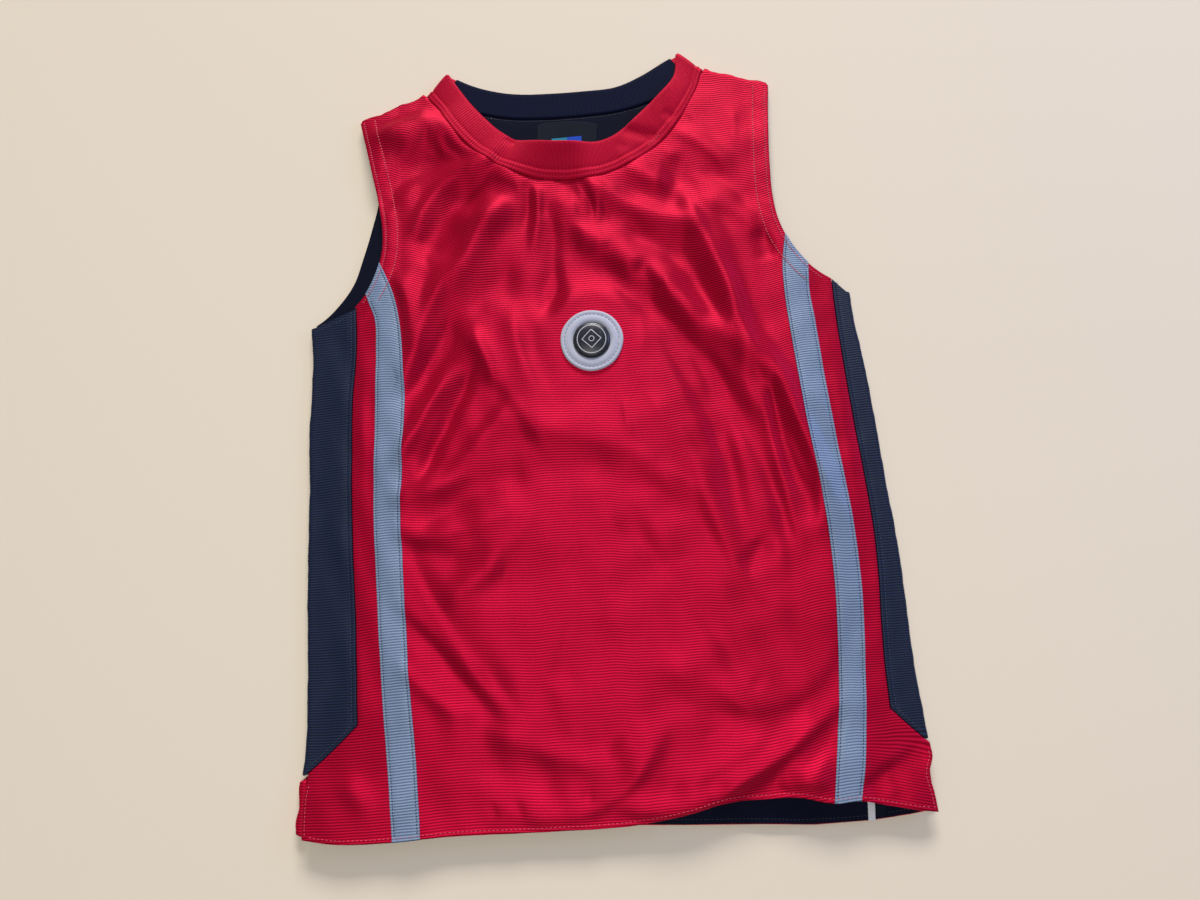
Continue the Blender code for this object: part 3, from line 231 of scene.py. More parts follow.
# Finer creases that only show in the finished cloth, with the same columns as the folds.
CREASES = (
    # x0, y0, x1, y1, x2, y2, height, left, right, fade_in, fade_out
    (-74, 187, -77, 179, -63, 168, -1.2, 2.4, 2.6, 0.30, 0.35),
    (-88, 193, -90, 186, -91, 178, -0.6, 2.2, 2.2, 0.30, 0.40),
    (-88, 178, -84, 175, -81, 169, -0.6, 2.4, 2.4, 0.30, 0.40),
    (-60, 168, -63, 160, -66, 154, 0.3, 1.8, 1.8, 0.20, 0.50),
    (-52, 153, -42, 149, -34, 144, -0.6, 2.2, 2.6, 0.25, 0.30),
    (0, 144, 2, 132, 4, 120, -0.6, 1.8, 1.8, 0.30, 0.45),
    (18, 131, 18, 124, 17, 115, -0.5, 2, 2, 0.30, 0.40),
    (20, 150, 24, 142, 27, 136, 0.3, 1.6, 1.8, 0.20, 0.50),
    (40, 160, 44, 155, 50, 151, 0.4, 1.8, 1.8, 0.20, 0.50),
    (54, 166, 60, 160, 66, 157, 0.6, 2.2, 2.4, 0.25, 0.50),
    (72, 190, 79, 180, 86, 172, 0.4, 2, 2.2, 0.20, 0.50),
    (99, 190, 99, 175, 97, 160, 0.6, 2.5, 2.5, 0.30, 0.40),
    (-40, 66, -37, 42, -30, 22, 0.3, 3, 3, 0.30, 0.40),
    (-28, 62, -30, 48, -26, 36, -0.3, 3, 3, 0.30, 0.40),
    (22, 12, 22.5, 0, 25, -14, 0.6, 1.6, 1.8, 0.30, 0.35),
    (112, -12, 117, -28, 126, -52, 0.6, 2, 2, 0.30, 0.40),
    (34, 62, 35, 48, 36, 36, 0.3, 2.6, 2.6, 0.30, 0.40),
    (-7, -68, -13, -78, -21, -88, -0.4, 1.8, 2, 0.35, 0.35),
    (-18, -112, -20, -124, -26, -136, -0.3, 2.6, 2.6, 0.35, 0.35),
    (-4, -140, -7, -152, -8, -160, -0.3, 2.6, 2.6, 0.35, 0.35),
    (50, -182, 58, -179, 66, -177, -0.3, 2.4, 2.4, 0.35, 0.35),
    (-66, -208, -64, -213, -62, -218, -0.5, 2.4, 2.4, 0.30, 0.30),
    (-53, -207, -50, -213, -47, -219, -0.5, 2.4, 2.4, 0.30, 0.30),
    (-14, -204, -12, -208, -14, -212, -0.6, 3, 3, 0.30, 0.30),
    (28, -84, 44, -84, 60, -78, -0.3, 4, 4, 0.40, 0.40),
    (86, -158, 84, -154, 90, -150, -0.5, 2.6, 2.6, 0.30, 0.30),
    (-104, 118, -96, 117, -90, 119, -0.5, 3, 3, 0.40, 0.40),
    (-97, 108, -92, 104, -90, 96, -0.4, 2.4, 2.4, 0.30, 0.40),
    (148, -203, 150, -210, 153, -218, 0.6, 3, 4, 0.30, 0.30),
    (-21, 147, -24, 122, -29, 98, 1.5, 3.2, 3.2, 0.10, 0.40),
    (-29, 150, -28, 133, -34, 114, -1.6, 3.4, 3.4, 0.15, 0.45),
    (-15, 143, -14, 118, -16, 66, -1.3, 4.5, 4.5, 0.20, 0.40),
    (4, 148, 8, 134, 12, 120, -1.2, 2.0, 2.0, 0.15, 0.45),
    (13, 138, 13.5, 128, 12, 117, 0.9, 1.8, 1.8, 0.30, 0.40),
)

rng = np.random.default_rng(11)


# ---------------------------------------------------------------- curves
def smooth_interp(at, xs, ys):
    xs, ys, at = np.asarray(xs, float), np.asarray(ys, float), np.atleast_1d(np.asarray(at, float))
    slope = np.gradient(ys, xs)
    i = np.clip(np.searchsorted(xs, at) - 1, 0, len(xs) - 2)
    width = xs[i + 1] - xs[i]
    t = np.clip((at - xs[i]) / width, 0.0, 1.0)
    return (
        (2 * t**3 - 3 * t**2 + 1) * ys[i]
        + (t**3 - 2 * t**2 + t) * width * slope[i]
        + (3 * t**2 - 2 * t**3) * ys[i + 1]
        + (t**3 - t**2) * width * slope[i + 1]
    )


_rows = np.array(sorted(SECTIONS))


def edge(column, y):
    return smooth_interp(y, _rows[:, 0], _rows[:, column])


def lengths(points):
    return np.concatenate([[0.0], np.cumsum(np.linalg.norm(np.diff(points, axis=0), axis=1))])


def resample(points, step):
    """The same open path with a point about every step, its corners kept."""
    points = np.asarray(points, float)
    out = [points[:1]]
    for a, b in zip(points[:-1], points[1:]):
        n = max(1, int(round(np.linalg.norm(b - a) / step)))
        out.append(a + (b - a) * np.linspace(0, 1, n + 1)[1:, None])
    return np.concatenate(out)


def rounded(points, step):
    """A smooth curve through a table of points, read about every step."""
    points = np.asarray(points, float)
    run = lengths(points)
    at = np.linspace(0, run[-1], max(3, int(round(run[-1] / step)) + 1))
    return np.column_stack([smooth_interp(at, run, points[:, k]) for k in range(points.shape[1])])


def walk(points, at):
    """Points of a path at the distances given along it."""
    run = lengths(points)
    return np.column_stack([np.interp(at, run, points[:, k]) for k in range(points.shape[1])])


def offset(points, by):
    """An open path moved to its left by a distance."""
    points = np.asarray(points, float)
    along = np.gradient(points, axis=0)
    along /= np.linalg.norm(along, axis=1)[:, None]
    return points + by * np.column_stack([-along[:, 1], along[:, 0]])


def inside(points, polygon):
    x, y = points[:, 0], points[:, 1]
    found = np.zeros(len(points), bool)
    for (x0, y0), (x1, y1) in zip(polygon, np.roll(polygon, -1, axis=0)):
        if y0 == y1:
            continue
        low, high = (y0, y1) if y0 < y1 else (y1, y0)
        at = np.nonzero((y >= low) & (y < high))[0]
        found[at] ^= x[at] < (x1 - x0) * (y[at] - y0) / (y1 - y0) + x0
    return found


def away(points, path):
    """Each point's distance to a path, where along the path that is, from 0 to 1, and on which side."""
    run = lengths(path)
    best = np.full(len(points), 1e9)
    place, side = np.zeros(len(points)), np.ones(len(points))
    for k, (a, b) in enumerate(zip(path[:-1], path[1:])):
        d = b - a
        t = np.clip(((points - a) @ d) / (d @ d), 0, 1)
        off = points - (a + t[:, None] * d)
        far = np.hypot(off[:, 0], off[:, 1])
        closer = far < best
        best = np.where(closer, far, best)
        place = np.where(closer, (run[k] + t * (run[k + 1] - run[k])) / run[-1], place)
        side = np.where(closer, np.sign(d[0] * off[:, 1] - d[1] * off[:, 0]), side)
    return best, place, side


def soft(t):
    t = np.clip(t, 0, 1)
    return t * t * (3 - 2 * t)


# ---------------------------------------------------------------- how high the front lies
def bend(row, steps=16):
    a, b, c = np.array(row[0:2], float), np.array(row[2:4], float), np.array(row[4:6], float)
    control = 2 * b - (a + c) / 2
    t = np.linspace(0, 1, steps + 1)[:, None]
    return (1 - t) ** 2 * a + 2 * t * (1 - t) * control + t**2 * c


def folded(points, table):
    """The sum of a table's folds at the points."""
    total = np.zeros(len(points))
    for row in table:
        height, left, right, fade_in, fade_out = row[6:]
        path = bend(row)
        reach = 3.2 * max(left, right)
        low, high = path.min(axis=0) - reach, path.max(axis=0) + reach
        near = np.nonzero(np.all((points > low) & (points < high), axis=1))[0]
        if not len(near):
            continue
        dist, place, side = away(points[near], path)
        wide = np.where(side > 0, left, right)
        total[near] += height * soft(place / fade_in + 0.02) * soft((1 - place) / fade_out + 0.02) * np.exp(-((dist / wide) ** 2))
    return total


def near_edges(points):
    left = points[:, 0] - (edge(SIDE_L, points[:, 1]) + FOLD_R + WALL / 2)
    right = edge(SIDE_R, points[:, 1]) - FOLD_R - WALL / 2 - points[:, 0]
    vent = soft((-188.0 - points[:, 1]) / 16.0)
    side = np.minimum(left, right) + 26.0 * vent
    for a, b in (SHOULDER_L, SHOULDER_R, (NECK_FRONT[0][:2], NECK_FRONT[0][2:]), (NECK_FRONT[-1][:2], NECK_FRONT[-1][2:])):
        side = np.minimum(side, away(points, np.array([a, b], float))[0])
    return np.clip(side, 0, None)


def drape(points):
    points = np.asarray(points, float)
    far = near_edges(points)
    high = PUFF * (1 - np.exp(-((far / 30.0) ** 2)))
    for x, y, height, reach_x, reach_y in RISES:
        high += height * np.exp(-(((points[:, 0] - x) / reach_x) ** 2) - ((points[:, 1] - y) / reach_y) ** 2)
    high = (high + folded(points, FOLDS)) * (1 - np.exp(-((far / 9.0) ** 2)))
    return Z_FRONT + 0.5 * (high + np.sqrt(high**2 + 0.8**2)) - 0.4 * np.exp(-((far / 9.0) ** 2))


PATCH_HIGH = float(drape(np.array([[PATCH_X + dx, PATCH_Y + dy] for dx in (-14, 0, 14) for dy in (-14, 0, 14)])).mean())

# Slow, slight unevenness: waves of several lengths and directions.
WAVES = [(a, 2 * math.pi / length, phase, size) for a, length, phase, size in zip(
    rng.uniform(0, math.pi, 14), rng.uniform(14, 46, 14), rng.uniform(0, 6.28, 14), rng.uniform(0.04, 0.13, 14))]


def uneven(points):
    total = np.zeros(len(points))
    for a, k, phase, size in WAVES:
        total += size * np.sin(k * (points[:, 0] * math.cos(a) + points[:, 1] * math.sin(a)) + phase + 0.8 * np.sin(points[:, 1] / 31.0 + phase))
    return total


def fine(points):
    far = near_edges(points)
    from_patch = np.hypot(points[:, 0] - PATCH_X, points[:, 1] - PATCH_Y)
    keep = soft((from_patch - PATCH_R - 1.0) / 12.0) * (1 - np.exp(-((far / 9.0) ** 2)))
    return (folded(points, CREASES) + uneven(points)) * keep


def under(points):
    """The front's underside, without the fine creases."""
    points = np.asarray(points, float)
    from_patch = np.hypot(points[:, 0] - PATCH_X, points[:, 1] - PATCH_Y)
    keep = soft((from_patch - PATCH_R - 3.0) / 16.0)
    return PATCH_HIGH + (drape(points) - PATCH_HIGH) * keep


def top(points):
    """The front's upper surface."""
    points = np.asarray(points, float)
    return np.maximum(under(points) + fine(points), Z_FRONT - 0.1) + WALL


# ---------------------------------------------------------------- the cloth's own lengths, for its rib and weave
GRID = 2.0
_gx, _gy = np.arange(-184.0, 184.1, GRID), np.arange(-238.0, 238.1, GRID)
_mx, _my = np.meshgrid(_gx, _gy)
_gh = top(np.column_stack([_mx.ravel(), _my.ravel()])).reshape(_mx.shape)
_sy = np.sqrt(1 + (np.diff(_gh, axis=0) / GRID) ** 2) * GRID
_sx = np.sqrt(1 + (np.diff(_gh, axis=1) / GRID) ** 2) * GRID
_v = np.vstack([np.zeros((1, len(_gx))), np.cumsum(_sy, axis=0)])
_v -= _v.mean(axis=1, keepdims=True)[np.argmin(np.abs(_gy + 226))]
_u = np.hstack([np.zeros((len(_gy), 1)), np.cumsum(_sx, axis=1)])
_u -= _u[:, [np.argmin(np.abs(_gx))]]


def read(grid, points):
    i = np.clip((points[:, 0] - _gx[0]) / GRID, 0, len(_gx) - 1.001)
    j = np.clip((points[:, 1] - _gy[0]) / GRID, 0, len(_gy) - 1.001)
    i0, j0 = i.astype(int), j.astype(int)
    fi, fj = i - i0, j - j0
    return (
        grid[j0, i0] * (1 - fi) * (1 - fj) + grid[j0, i0 + 1] * fi * (1 - fj)
        + grid[j0 + 1, i0] * (1 - fi) * fj + grid[j0 + 1, i0 + 1] * fi * fj
    )


def grain(points):
    """(u, v) of the cloth in millimetres: along the rib and across it. The cloth hangs a little aslant in places."""
    x, y = points[:, 0], points[:, 1]
    u, v = read(_u, points), read(_v, points)
    v = v + 0.15 * np.clip(x - 30, 0, None) * soft((y - 20) / 120)  # falls away to the right shoulder
    v = v + 0.05 * np.clip(-x - 40, 0, None) * soft((y - 60) / 120)
    v = v + 0.24 * np.clip(x - 140, 0, None) * soft((-180 - y) / 20)
    v = v - 0.05 * np.clip(x - 20, 0, None) * soft((-120 - y) / 60)
    v = v + 1.2 * np.sin(x / 37.0 + 0.6) + 0.6 * np.sin(x / 17.0 + y / 60.0)
    return np.column_stack([u, v])


# ---------------------------------------------------------------- meshes
def place(verts):
    return (np.asarray(verts, float) - MIDDLE) * MM


def mesh_object(name, verts, faces, uv, materials, face_material=None):
    """An object from points in millimetres, faces as arrays of equal-sided faces, and (u, v) of each point in mm."""
    faces = [np.asarray(f, np.int32) for f in (faces if isinstance(faces, list) else [faces]) if len(f)]
    mesh = bpy.data.meshes.new(name)
    mesh.vertices.add(len(verts))
    mesh.vertices.foreach_set("co", place(verts).astype(np.float32).ravel())
    corner = np.concatenate([f.ravel() for f in faces])
    sides = np.concatenate([np.full(len(f), f.shape[1]) for f in faces])
    mesh.loops.add(len(corner))
    mesh.loops.foreach_set("vertex_index", corner)
    mesh.polygons.add(len(sides))
    mesh.polygons.foreach_set("loop_start", np.concatenate([[0], np.cumsum(sides)[:-1]]).astype(np.int32))
    if face_material is not None:
        mesh.polygons.foreach_set("material_index", np.asarray(face_material, np.int32))
    layer = mesh.uv_layers.new(name="cloth")
    layer.data.foreach_set("uv", (np.asarray(uv, float)[corner] / 100.0).astype(np.float32).ravel())
    for material in materials:
        mesh.materials.append(material)
    mesh.update(calc_edges=True)
    mesh.validate()
    mesh.shade_smooth()
    obj = bpy.data.objects.new(name, mesh)
    bpy.context.scene.collection.objects.link(obj)
    return obj


def carry(obj, slot, *nodes):
    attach(obj, "root")
    if nodes:
        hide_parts(*nodes)
    return obj


def tree_of(path, step=0.35, closed=False):
    path = np.asarray(path, float)
    if closed:
        path = np.vstack([path, path[:1]])
    path = resample(path, step)
    tree = KDTree(len(path))
    for i, (x, y) in enumerate(path.tolist()):
        tree.insert((x, y, 0.0), i)
    tree.balance()
    return tree


def to_tree(tree, points):
    return np.array([tree.find((x, y, 0.0))[2] for x, y in points.tolist()])


def inset(outline, by):
    ahead, behind = np.roll(outline, -1, axis=0), np.roll(outline, 1, axis=0)
    along = ahead - behind
    along /= np.maximum(np.linalg.norm(along, axis=1), 1e-9)[:, None]
    return outline + by * np.column_stack([-along[:, 1], along[:, 0]])


def fill(outline, step, rows=(0.3, 0.9), lines=()):
    """Triangles that fill an outline, with rows of points along its edge and along the lines given."""
    outline = np.asarray(outline, float)
    keep = np.linalg.norm(outline - np.roll(outline, 1, axis=0), axis=1) > 0.05
    outline = outline[keep]
    rim = tree_of(outline, closed=True)
    points = [outline]
    for by in rows:
        row = inset(outline, by)
        points.append(row[(to_tree(rim, row) > 0.8 * by) & inside(row, outline)])
    for line in lines:
        line = np.asarray(line, float)
        line = line[inside(line, outline)]
        if len(line):
            points.append(line[to_tree(rim, line) > 0.5])
    fixed = np.vstack(points)
    low, high = outline.min(axis=0), outline.max(axis=0)
    grid = []
    for r, y in enumerate(np.arange(low[1] + step / 2, high[1], step * 0.87)):
        xs = np.arange(low[0] + step * (0.5 if r % 2 else 1.0), high[0], step)
        grid.append(np.column_stack([xs, np.full(len(xs), y)]))
    if grid:
        grid = np.concatenate(grid)
        grid = grid[inside(grid, outline)]
        near = KDTree(len(fixed))
        for i, (x, y) in enumerate(fixed.tolist()):
            near.insert((x, y, 0.0), i)
        near.balance()
        grid = grid[to_tree(near, grid) > 0.6 * step]
        fixed = np.vstack([fixed, grid])
    n = len(outline)
    verts, _, faces, *_ = delaunay_2d_cdt(fixed.tolist(), [(i, (i + 1) % n) for i in range(n)], [], 1, 1e-5)
    verts = np.array([tuple(v) for v in verts])
    faces = np.array(faces)
    a, b, c = verts[faces[:, 0]], verts[faces[:, 1]], verts[faces[:, 2]]
    area = (b[:, 0] - a[:, 0]) * (c[:, 1] - a[:, 1]) - (b[:, 1] - a[:, 1]) * (c[:, 0] - a[:, 0])
    faces = faces[np.abs(area) > 1e-5]
    area = area[np.abs(area) > 1e-5]
    faces[area < 0] = faces[area < 0][:, ::-1]
    return verts, faces, to_tree(rim, verts)


def wall(middle, out, half_up, half_down, faces):
    """A closed wall about its middle surface: points, triangles and which of them are on the lower side."""
    n = len(middle)
    ends = np.concatenate([faces[:, [0, 1]], faces[:, [1, 2]], faces[:, [2, 0]]])
    key = ends[:, 0].astype(np.int64) * n + ends[:, 1]
    back = ends[:, 1].astype(np.int64) * n + ends[:, 0]
    rim = ends[~np.isin(key, back)]
    low = middle - out * np.asarray(half_down)[:, None]
    high = middle + out * np.asarray(half_up)[:, None]
    a, b = rim[:, 0], rim[:, 1]
    sides = np.concatenate([np.column_stack([a, b, b + n]), np.column_stack([a, b + n, a + n])])
    body = np.concatenate([faces + n, faces[:, ::-1], sides])
    lower = np.concatenate([np.zeros(len(faces), int), np.ones(len(faces), int), np.zeros(len(sides), int)])
    return np.vstack([low, high]), body, lower


def eased(dist, radius, half):
    """How far each face of a wall draws in towards its middle near its rim, so that the edge is round."""
    t = np.clip((radius - dist) / radius, 0, 1)
    return half * 0.85 * (1 - np.sqrt(np.clip(1 - t * t, 0, 1)))


def flat_cloth(name, outline, step, z_top, thick, materials, rim=0.9, lines=(), rows=(0.3, 0.9), uv=None, groove=None):
    """A piece of cloth over its outline. z_top gives the upper surface's height at points."""
    verts, faces, dist = fill(outline, step, rows, lines)
    high = z_top(verts)
    if groove is not None:
        high = high - groove(verts)
    middle = np.column_stack([verts, high - thick / 2])
    half = thick / 2 - eased(dist, rim, thick / 2)
    out = np.tile([0.0, 0.0, 1.0], (len(verts), 1))
    points, body, lower = wall(middle, out, half, half, faces)
    lie = grain(verts) if uv is None else uv(verts)
    return mesh_object(name, points, body, np.vstack([lie, lie]), materials, lower if len(materials) > 1 else None)


def sheet_mesh(rows_of_points):
    """Quads between equal rows of points, and the row count."""
    rows_of_points = np.asarray(rows_of_points, float)
    r, c = rows_of_points.shape[:2]
    index = np.arange(r * c).reshape(r, c)
    quads = np.stack([index[:-1, :-1], index[:-1, 1:], index[1:, 1:], index[1:, :-1]], axis=-1).reshape(-1, 4)
    return rows_of_points.reshape(-1, 3), quads


# ---------------------------------------------------------------- materials
def nodes_for(name):
    material = bpy.data.materials.new(name)
    material.use_nodes = True
    tree = material.node_tree
    return material, tree, tree.nodes["Principled BSDF"]


def node(tree, kind, **inputs):
    made = tree.nodes.new(kind)
    for key, value in inputs.items():
        setattr(made, key, value)
    return made


def link(tree, a, b):
    tree.links.new(a, b)


def math_node(tree, operation, a, b=None, c=None):
    made = tree.nodes.new("ShaderNodeMath")
    made.operation = operation
    for k, value in enumerate((a, b, c)):
        if value is None:
            continue
        if isinstance(value, (int, float)):
            made.inputs[k].default_value = value
        else:
            link(tree, value, made.inputs[k])
    return made.outputs[0]


def blend_node(tree, factor, a, b, kind="MIX"):
    made = tree.nodes.new("ShaderNodeMix")
    made.data_type = "RGBA"
    made.blend_type = kind
    for socket, value in ((made.inputs[0], factor), (made.inputs[6], a), (made.inputs[7], b)):
        if isinstance(value, (int, float)):
            socket.default_value = value
        elif isinstance(value, tuple):
            socket.default_value = (*value, 1.0)
        else:
            link(tree, value, socket)
    return made.outputs[2]


def noise_node(tree, vector, scale, detail=3.0, roughness=0.5):
    made = tree.nodes.new("ShaderNodeTexNoise")
    made.inputs["Scale"].default_value = scale
    made.inputs["Detail"].default_value = detail
    made.inputs["Roughness"].default_value = roughness
    link(tree, vector, made.inputs["Vector"])
    return made.outputs["Fac"]


def scaled(tree, vector, x, y, z=1.0):
    made = tree.nodes.new("ShaderNodeMapping")
    made.inputs["Scale"].default_value = (x, y, z)
    link(tree, vector, made.inputs["Vector"])
    return made.outputs["Vector"]


def cloth_lines(tree):
    """The (u, v) map, and u and v in hundreds of millimetres."""
    uv = tree.nodes.new("ShaderNodeUVMap")
    uv.uv_map = "cloth"
    split = tree.nodes.new("ShaderNodeSeparateXYZ")
    link(tree, uv.outputs["UV"], split.inputs[0])
    return uv.outputs["UV"], split.outputs[0], split.outputs[1]


def wave(tree, value, pitch, wobble=None):
    """A ridge wave from 0 to 1 along a value in hundreds of millimetres."""
    phase = math_node(tree, "MULTIPLY", value, 2 * math.pi * 100.0 / pitch)
    if wobble is not None:
        phase = math_node(tree, "ADD", phase, wobble)
    return math_node(tree, "MULTIPLY_ADD", math_node(tree, "SINE", phase), 0.5, 0.5)


def ribbed(name, crest, groove, pitch, depth, rough, metallic=0.0, aniso=0.0, level=0.5, ior=1.5, tint=None, sheen=0.0,
           sheen_tint=(1, 1, 1), cross=0.9, mottle=0.12, contrast=1.0, along_u=False, blotch=None):
    """A cloth with a fine rib: its colour and height change from crest to groove, with a finer knit between. The darker
    groove colour is painted shade in the rib's grooves.
    """
    material, tree, shader = nodes_for(name)
    uv, u, v = cloth_lines(tree)
    if along_u:
        u, v = v, u
    drift = noise_node(tree, scaled(tree, uv, 6.0, 6.0), 1.0, 2.0)
    wobble = math_node(tree, "MULTIPLY_ADD", drift, 2.4, -1.2)
    rib = wave(tree, v, pitch, wobble)
    rib = math_node(tree, "POWER", rib, contrast)
    knit = wave(tree, u, cross, math_node(tree, "MULTIPLY", rib, 1.6))
    yarn = noise_node(tree, scaled(tree, uv, 60.0, 260.0) if not along_u else scaled(tree, uv, 260.0, 60.0), 1.0, 2.0)
    slow = noise_node(tree, scaled(tree, uv, 3.0, 3.0), 1.0, 3.0)
    # Crest to groove colour: the darker groove colour is painted shade in the rib's grooves, on top of their bump.
    colour = blend_node(tree, rib, groove, crest)
    shade = math_node(tree, "MULTIPLY_ADD", slow, mottle * 2, 1.0 - mottle)
    shade = math_node(tree, "MULTIPLY", shade, math_node(tree, "MULTIPLY_ADD", yarn, 0.30, 0.85))
    bright = tree.nodes.new("ShaderNodeHueSaturation")
    link(tree, shade, bright.inputs["Value"])
    link(tree, colour, bright.inputs["Color"])
    colour = bright.outputs[0]
    if blotch is not None:
        spot = noise_node(tree, scaled(tree, uv, 9.0, 9.0), 1.0, 4.0, 0.6)
        spot = math_node(tree, "MULTIPLY", soft_step(tree, spot, 0.55, 0.75), 0.5)
        colour = blend_node(tree, spot, colour, blotch)
    link(tree, colour, shader.inputs["Base Color"])
    height = math_node(tree, "ADD", math_node(tree, "MULTIPLY", rib, 0.72), math_node(tree, "MULTIPLY", knit, 0.06))
    height = math_node(tree, "ADD", height, math_node(tree, "MULTIPLY", yarn, 0.03))
    bump = tree.nodes.new("ShaderNodeBump")
    bump.inputs["Strength"].default_value = 1.0
    bump.inputs["Distance"].default_value = depth * MM
    link(tree, height, bump.inputs["Height"])
    link(tree, bump.outputs[0], shader.inputs["Normal"])
    shader.inputs["Roughness"].default_value = rough
    shader.inputs["Metallic"].default_value = metallic
    shader.inputs["Specular IOR Level"].default_value = level
    shader.inputs["IOR"].default_value = ior
    if tint is not None:
        shader.inputs["Specular Tint"].default_value = (*tint, 1.0)
    if aniso:
        tangent = tree.nodes.new("ShaderNodeTangent")
        tangent.direction_type = "UV_MAP"
        tangent.uv_map = "cloth"
        link(tree, tangent.outputs[0], shader.inputs["Tangent"])
        shader.inputs["Anisotropic"].default_value = aniso
        shader.inputs["Anisotropic Rotation"].default_value = 0.25
    if sheen:
        shader.inputs["Sheen Weight"].default_value = sheen
        shader.inputs["Sheen Roughness"].default_value = 0.4
        shader.inputs["Sheen Tint"].default_value = (*sheen_tint, 1.0)
    return material


def soft_step(tree, value, low, high):
    made = tree.nodes.new("ShaderNodeMapRange")
    made.interpolation_type = "SMOOTHSTEP"
    made.inputs["From Min"].default_value = low
    made.inputs["From Max"].default_value = high
    link(tree, value, made.inputs["Value"])
    return made.outputs[0]


def plain_knit(name, dark, light, scale, depth, rough, sheen=0.0, sheen_tint=(1, 1, 1), specks=None, level=0.3):
    """A fine knit mesh: rows of small loops, with a little lint where specks are asked for."""
    material, tree, shader = nodes_for(name)
    uv, u, v = cloth_lines(tree)
    loops = math_node(tree, "MULTIPLY", wave(tree, u, scale), wave(tree, v, scale * 1.25, math_node(tree, "MULTIPLY", wave(tree, u, scale), 1.2)))
    fuzz = noise_node(tree, scaled(tree, uv, 120.0, 120.0), 1.0, 3.0, 0.6)
    slow = noise_node(tree, scaled(tree, uv, 4.0, 4.0), 1.0, 3.0)
    factor = math_node(tree, "ADD", math_node(tree, "MULTIPLY", loops, 0.55), math_node(tree, "MULTIPLY", math_node(tree, "MULTIPLY", fuzz, slow), 0.9))
    colour = blend_node(tree, factor, dark, light)
    if specks is not None:
        cells = tree.nodes.new("ShaderNodeTexVoronoi")
        cells.inputs["Scale"].default_value = 1.0
        link(tree, scaled(tree, uv, 16.0, 16.0), cells.inputs["Vector"])
        lint = math_node(tree, "LESS_THAN", cells.outputs["Distance"], 0.035)
        chosen = tree.nodes.new("ShaderNodeSeparateColor")
        link(tree, cells.outputs["Color"], chosen.inputs[0])
        lint = math_node(tree, "MULTIPLY", lint, math_node(tree, "LESS_THAN", chosen.outputs[0], 0.3))
        colour = blend_node(tree, lint, colour, specks)
    link(tree, colour, shader.inputs["Base Color"])
    height = math_node(tree, "ADD", math_node(tree, "MULTIPLY", loops, 0.6), math_node(tree, "MULTIPLY", fuzz, 0.5))
    bump = tree.nodes.new("ShaderNodeBump")
    bump.inputs["Strength"].default_value = 1.0
    bump.inputs["Distance"].default_value = depth * MM
    link(tree, height, bump.inputs["Height"])
    link(tree, bump.outputs[0], shader.inputs["Normal"])
    shader.inputs["Roughness"].default_value = rough
    shader.inputs["Specular IOR Level"].default_value = level
    if sheen:
        shader.inputs["Sheen Weight"].default_value = sheen
        shader.inputs["Sheen Roughness"].default_value = 0.5
        shader.inputs["Sheen Tint"].default_value = (*sheen_tint, 1.0)
    return material


def thread(name, colour, rough=0.5):
    """Sewing thread: twisted, so its colour and height run in fine slanting bands."""
    material, tree, shader = nodes_for(name)
    uv, u, v = cloth_lines(tree)
    twist = wave(tree, math_node(tree, "ADD", u, v), 0.35)
    dark = tuple(c * 0.6 for c in colour)
    link(tree, blend_node(tree, twist, dark, colour), shader.inputs["Base Color"])
    bump = tree.nodes.new("ShaderNodeBump")
    bump.inputs["Distance"].default_value = 0.03 * MM
    link(tree, twist, bump.inputs["Height"])
    link(tree, bump.outputs[0], shader.inputs["Normal"])
    shader.inputs["Roughness"].default_value = rough
    return material


RED_TINT = (1.0, 0.10, 0.26)
# Each ribbed cloth's first colour is its rib crest and its second is its groove. The darker groove colour is painted
# shade in the rib's grooves.
red = ribbed("red_satin_cloth", (0.66, 0.006, 0.048), (0.27, 0.001, 0.014), RIB, 0.16, 0.50, metallic=0.42, aniso=0.70, level=0.35,
             tint=RED_TINT, sheen=0.02, sheen_tint=(1.0, 0.2, 0.5))
red_band = ribbed("red_rib_knit", (0.70, 0.008, 0.048), (0.30, 0.0015, 0.016), 0.8, 0.20, 0.55, metallic=0.25, level=0.25, tint=RED_TINT,
                  sheen=0.04, sheen_tint=(1.0, 0.4, 0.5), along_u=True, cross=1.1, mottle=0.08)
navy = ribbed("navy_ribbed_cloth", (0.014, 0.027, 0.075), (0.003, 0.005, 0.015), RIB, 0.17, 0.50, metallic=0.15, aniso=0.5, level=0.25, sheen=0.02,
              sheen_tint=(0.6, 0.75, 1.0))
ribbon = ribbed("grey_ribbon_cloth", (0.265, 0.365, 0.540), (0.088, 0.135, 0.225), RIB, 0.20, 0.48, metallic=0.10, aniso=0.4, level=0.5,
                sheen=0.05, contrast=0.8)
lining = plain_knit("black_lining_knit", (0.0010, 0.0015, 0.006), (0.007, 0.010, 0.036), 0.9, 0.10, 0.8, sheen=0.01, sheen_tint=(0.6, 0.7, 1.0), specks=(0.3, 0.3, 0.32), level=0.10)
black_band = ribbed("black_rib_knit", (0.006, 0.010, 0.042), (0.0012, 0.002, 0.009), 0.8, 0.16, 0.75, level=0.10, sheen=0.02,
                    sheen_tint=(0.5, 0.6, 1.0), along_u=True, cross=1.1)
felt = plain_knit("pale_patch_felt", (0.40, 0.42, 0.52), (0.70, 0.72, 0.84), 0.5, 0.06, 0.7, sheen=0.10)
label_cloth = plain_knit("label_weave", (0.002, 0.004, 0.009), (0.008, 0.014, 0.030), 0.45, 0.05, 0.7, level=0.08)
white_tape = plain_knit("white_tape_weave", (0.62, 0.63, 0.66), (0.92, 0.92, 0.92), 0.5, 0.05, 0.6)

# ---------------------------------------------------------------- seams: edges that pieces share, and stitch lines
STEP = 1.8


def past_line(a, b, by):
    a, b = np.array(a, float), np.array(b, float)
    d = (b - a) / np.linalg.norm(b - a)
    return np.array([a, b]) + by * np.array([d[1], -d[0]])


